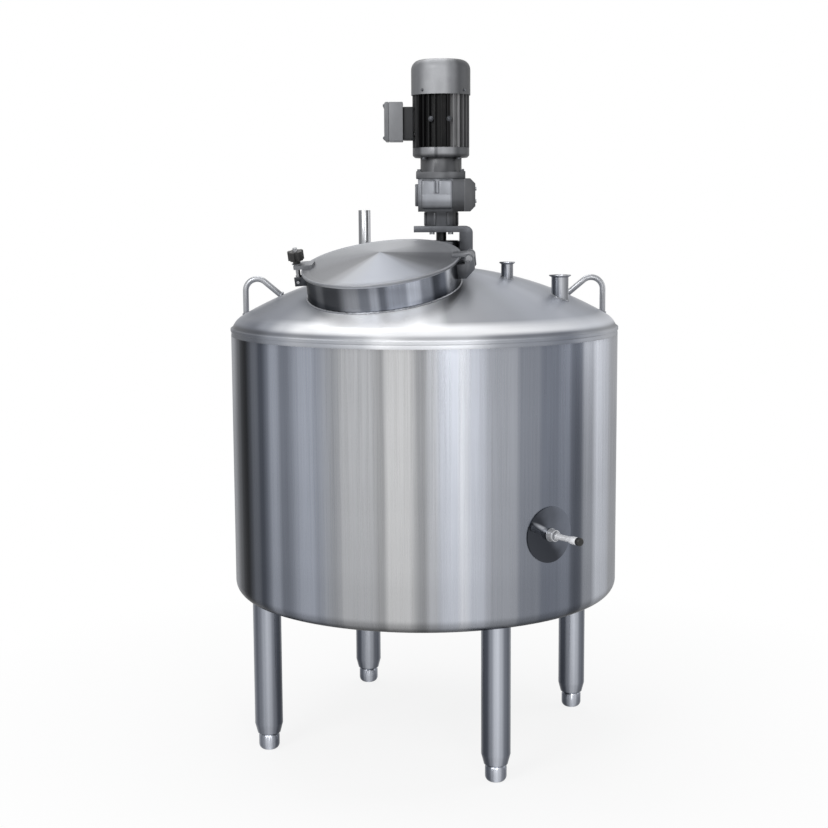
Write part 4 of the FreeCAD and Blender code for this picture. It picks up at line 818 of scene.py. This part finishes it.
def ring(radius, thick, middle, flat=0.7, sides=96):
    """A rolled wire ring, pressed a little flatter than round."""
    bpy.ops.mesh.primitive_torus_add(major_radius=radius, minor_radius=thick, location=middle, major_segments=sides,
                                     minor_segments=10)
    bpy.ops.object.mode_set(mode="EDIT")
    bpy.ops.mesh.select_all(action="SELECT")
    bpy.ops.transform.resize(value=(1, 1, flat))
    bpy.ops.object.mode_set(mode="OBJECT")
    return bpy.context.object


def bolts(name, body, spots, radius, finish, place=None):
    """Hexagon heads on washers. Each spot is the seat's middle and the way the head looks."""
    washer = post(radius * 1.25, radius * 0.24, (0, 0, radius * 0.12), 24, radius * 0.06)
    head = post(radius, radius * 0.8, (0, 0, radius * 0.6), 6, radius * 0.12)
    first = gather("bolt", [washer, head])
    choose(first)
    bpy.ops.object.transform_apply(location=True, rotation=True, scale=True)
    settle(gather(name, copies(first, [seat_place(seat, axis) for seat, axis in spots])), body, finish, place)


def weld(name, body, spots, place=None):
    """Rippled weld beads round tubes. Each spot is the ring's middle, its axis, radius and thickness."""
    sides, step, fewest = 8, 4, 48  # sides of a bead, sections from one ripple to the next and in the smallest ring
    parts = []
    for middle, axis, radius, thick in spots:
        turn = Vector(axis).to_track_quat("Z", "Y").to_euler()
        sections = max(fewest, int(radius * 2 * math.pi / thick * 1.6))
        bpy.ops.mesh.primitive_torus_add(location=middle, rotation=turn, major_radius=radius, minor_radius=thick,
                                         major_segments=sections - sections % step, minor_segments=sides)
        bead = bpy.context.object
        choose(bead)
        bpy.ops.object.mode_set(mode="EDIT")
        bpy.ops.mesh.select_all(action="DESELECT")
        bpy.ops.object.mode_set(mode="OBJECT")
        for number, vertex in enumerate(bead.data.vertices):
            vertex.select = (number // sides) % step == 0
        bpy.ops.object.mode_set(mode="EDIT")
        bpy.ops.transform.translate(value=Vector(axis).normalized() * thick * 0.22)
        bpy.ops.object.mode_set(mode="OBJECT")
        parts.append(bead)
    settle(gather(name, parts), body, WELD, place, WELD_ANGLE)


def dome_spot(x, y):
    """A point on the head's crown and the way its surface looks."""
    outward = Vector((x, y, math.sqrt(CROWN_R ** 2 - x * x - y * y))) / CROWN_R
    return Vector((0, 0, CROWN_Z)) + outward * CROWN_R, outward


def dress_head():
    """Welds round the fittings, the loops' feet and the collar."""
    spots = []
    for (x, y), radius, thick in ((VENT, 0.0175, 0.0026), (SPRAY, 0.0165, 0.0024), (CHARGE, 0.023, 0.0028),
                                  ((DRIVE_X, 0.0), 0.0458, 0.0034)):
        middle, outward = dome_spot(x, y)
        spots.append((middle, outward, radius, thick))
    for side in (-1, 1):
        spots.append(((side * 0.491, 0, 1.1812), (side * 0.34, 0, 0.94), 0.0088, 0.0024))
        spots.append(((side * 0.3945, 0, 1.2298), (side * 0.766, 0, 0.643), 0.0092, 0.0026))
    weld("fitting_welds", "tank", spots)
    weld("collar_weld", "tank", [((0, 0, -0.0190), (0, 0, 1), 0.2012, 0.0032)], LID_PLACE)


def dress_lid():
    """The lid's rolled rim, the nuts of both pins and the dished washer under the knob."""
    settle(gather("lid_rim_roll", [ring(0.2054, 0.0030, (0, 0, 0.0530), 0.9, 160)]), "lid", RIM, LID_PLACE)
    bolts("hinge_pin_nut", "tank", [((HINGE_X, 0.0236, 0.052), (0, 1, 0))], 0.0095, BOLT, LID_PLACE)
    washer = post(0.0135, 0.0016, (CLAMP_X, 0, 0.0660), 32, 0.0003)
    for vertex in washer.data.vertices:
        vertex.select = False
    for face in washer.data.polygons:
        face.select = face.normal.z > 0.9
    bpy.ops.object.mode_set(mode="EDIT")
    bpy.ops.mesh.select_mode(type="FACE")
    bpy.ops.mesh.inset(thickness=0.0040, depth=-0.0005)
    bpy.ops.object.mode_set(mode="OBJECT")
    settle(gather("clamp_washer", [washer]), "clamp_knob", BOLT, LID_PLACE)
    bolts("clamp_pin_nut", "tank", [((CLAMP_X, 0.0136, 0.020), (0, 1, 0))], 0.0068, BOLT, LID_PLACE)


def dress_gearbox():
    """Lobes on the casting's front, ribs behind, beside and below, bolts and the oil plug."""
    parts = [slab((0.0400, 0.016, 0.060), (DRIVE_X - 0.0345, -0.0470, 1.5120), 0.0070, 4),
             slab((0.0390, 0.016, 0.060), (DRIVE_X + 0.0110, -0.0470, 1.5120), 0.0070, 4),
             slab((0.0850, 0.016, 0.044), (DRIVE_X - 0.0120, -0.0474, 1.4850), 0.0070, 4),
             slab((0.008, 0.012, 0.082), (DRIVE_X - 0.050, 0.0490, GEARBOX_Z), 0.0022),
             slab((0.008, 0.012, 0.082), (DRIVE_X + 0.044, 0.0490, GEARBOX_Z), 0.0022),
             slab((0.118, 0.010, 0.008), (DRIVE_X, 0.0490, GEARBOX_Z), 0.0022),
             slab((0.012, 0.064, 0.060), (DRIVE_X - 0.0650, 0.0, GEARBOX_Z), 0.0024)]
    rib = slab((0.005, 0.007, 0.034), (0.0475, 0, 1.4365), 0.0014)
    axis = Matrix.Translation((DRIVE_X, 0, 0))
    parts += copies(rib, [axis @ turned(22.5 + 45 * number, "Z") for number in range(8)])
    settle(gather("casting_ribs", parts), "tank", FINISHES["gearbox_paint"])
    spots = [((DRIVE_X - 0.0015 + side_x * 0.0575, side_y * 0.0430, 1.563), (0, 0, 1))
             for side_x in (-1, 1) for side_y in (-1, 1)]
    bolts("flange_bolts", "tank", spots, 0.0068, DULL_BOLT)
    plug = [post(0.0085, 0.005, (DRIVE_X - 0.006, 0.0495, 1.503), 24, 0.0008, (0, 1, 0)),
            post(0.0052, 0.008, (DRIVE_X - 0.006, 0.0510, 1.503), 6, 0.0006, (0, 1, 0))]
    settle(gather("oil_plug", plug), "tank", FINISHES["black_plastic"])
    corners = [math.radians(45 + 90 * number) for number in range(4)]
    spots = [((DRIVE_X + 0.0655 * math.cos(angle), 0.0655 * math.sin(angle), 1.601), (0, 0, -1)) for angle in corners]
    bolts("shield_bolts", "tank", spots, 0.0060, DULL_BOLT)


def around_drive(radius, angles, height):
    """Seats on the motor's side, at angles from the front, and the way out from each."""
    seats = []
    for angle in angles:
        outward = Vector((math.sin(math.radians(angle)), -math.cos(math.radians(angle)), 0))
        seats.append((Vector((DRIVE_X, 0, height)) + outward * radius, outward))
    return seats


def dress_motor():
    """Screws, the skirt behind the terminal box, whose near-black is painted shade, and the rims of the cowl's grille.
    """
    bolts("cowl_screws", "tank", around_drive(0.0802, (-38.6, 51.4, 141.4, -128.6), 1.7785), 0.0034, DULL_BOLT)
    bolts("frame_screws", "tank", around_drive(0.0768, (-21, 16), 1.702), 0.0058, DARK_BOLT)
    skirt = slab((0.030, 0.072, 0.088), (-0.0410, 0, 1.6925), 0.0040, 3)
    settle(gather("terminal_box_skirt", [skirt]), "tank", FINISHES["terminal_skirt"])
    spots = [((-0.1052, side_y * 0.037, 1.697 + side_z * 0.043), (-1, 0, 0))
             for side_y in (-1, 1) for side_z in (-1, 1)]
    bolts("terminal_screws", "tank", spots, 0.0034, DULL_BOLT)
    rims = [ring(radius, 0.0014, (DRIVE_X, 0, 1.8602)) for radius in (0.0585, 0.0415, 0.0255)]
    settle(gather("cowl_grille_rims", rims), "tank", FINISHES["cowl_paint"])


def dress_port():
    """The probe's nut and the weld of its boss."""
    nut = [post(0.0130, 0.006, (0, 0, 0.5550), 6, 0.0010)]
    settle(gather("probe_nut", nut), "tank", BOLT, PORT_PLACE)
    weld("boss_weld", "tank", [((0, 0, 0.5345), (0, 0, 1), 0.0156, 0.0020)], PORT_PLACE)


EASED_NODES = {  # width of the eased edges
    "gearbox_housing": 0.0050, "gearbox_side_cover": 0.0030, "input_flange": 0.0022, "terminal_box": 0.0022,
    "terminal_cover": 0.0016, "drive_bracket": 0.0012, "hinge_bracket": 0.0008, "clamp_bracket": 0.0006,
    "lid_hinge_arm": 0.0010, "clamp_knob": 0.0016, "swing_bolt": 0.0006, "seal_neck": 0.0010, "seal_housing": 0.0010,
    "front_end_shield": 0.0014, "spray_nozzle": 0.0007, "charge_nozzle": 0.0008, "outlet_pipe": 0.0008,
    "thermowell": 0.0008, "temperature_probe": 0.0006, "probe_cap": 0.0010, "hinge_pin": 0.0006, "impeller": 0.0010,
    "cable_gland": 0.0008, "lifting_lug_left": 0.0006, "lifting_lug_right": 0.0006, "vent_pipe": 0.0007,
    "manway_collar": 0.0008, "foot_front_left": 0.0008, "foot_front_right": 0.0008, "foot_back_left": 0.0008,
    "foot_back_right": 0.0008,
}
for node_name, width in EASED_NODES.items():
    eased_copy(node_name, width)
dress_head()
dress_lid()
dress_gearbox()
dress_motor()
dress_port()

bpy.context.scene.view_settings.view_transform = "Standard"
set_camera()
lay_floor()
light_studio()
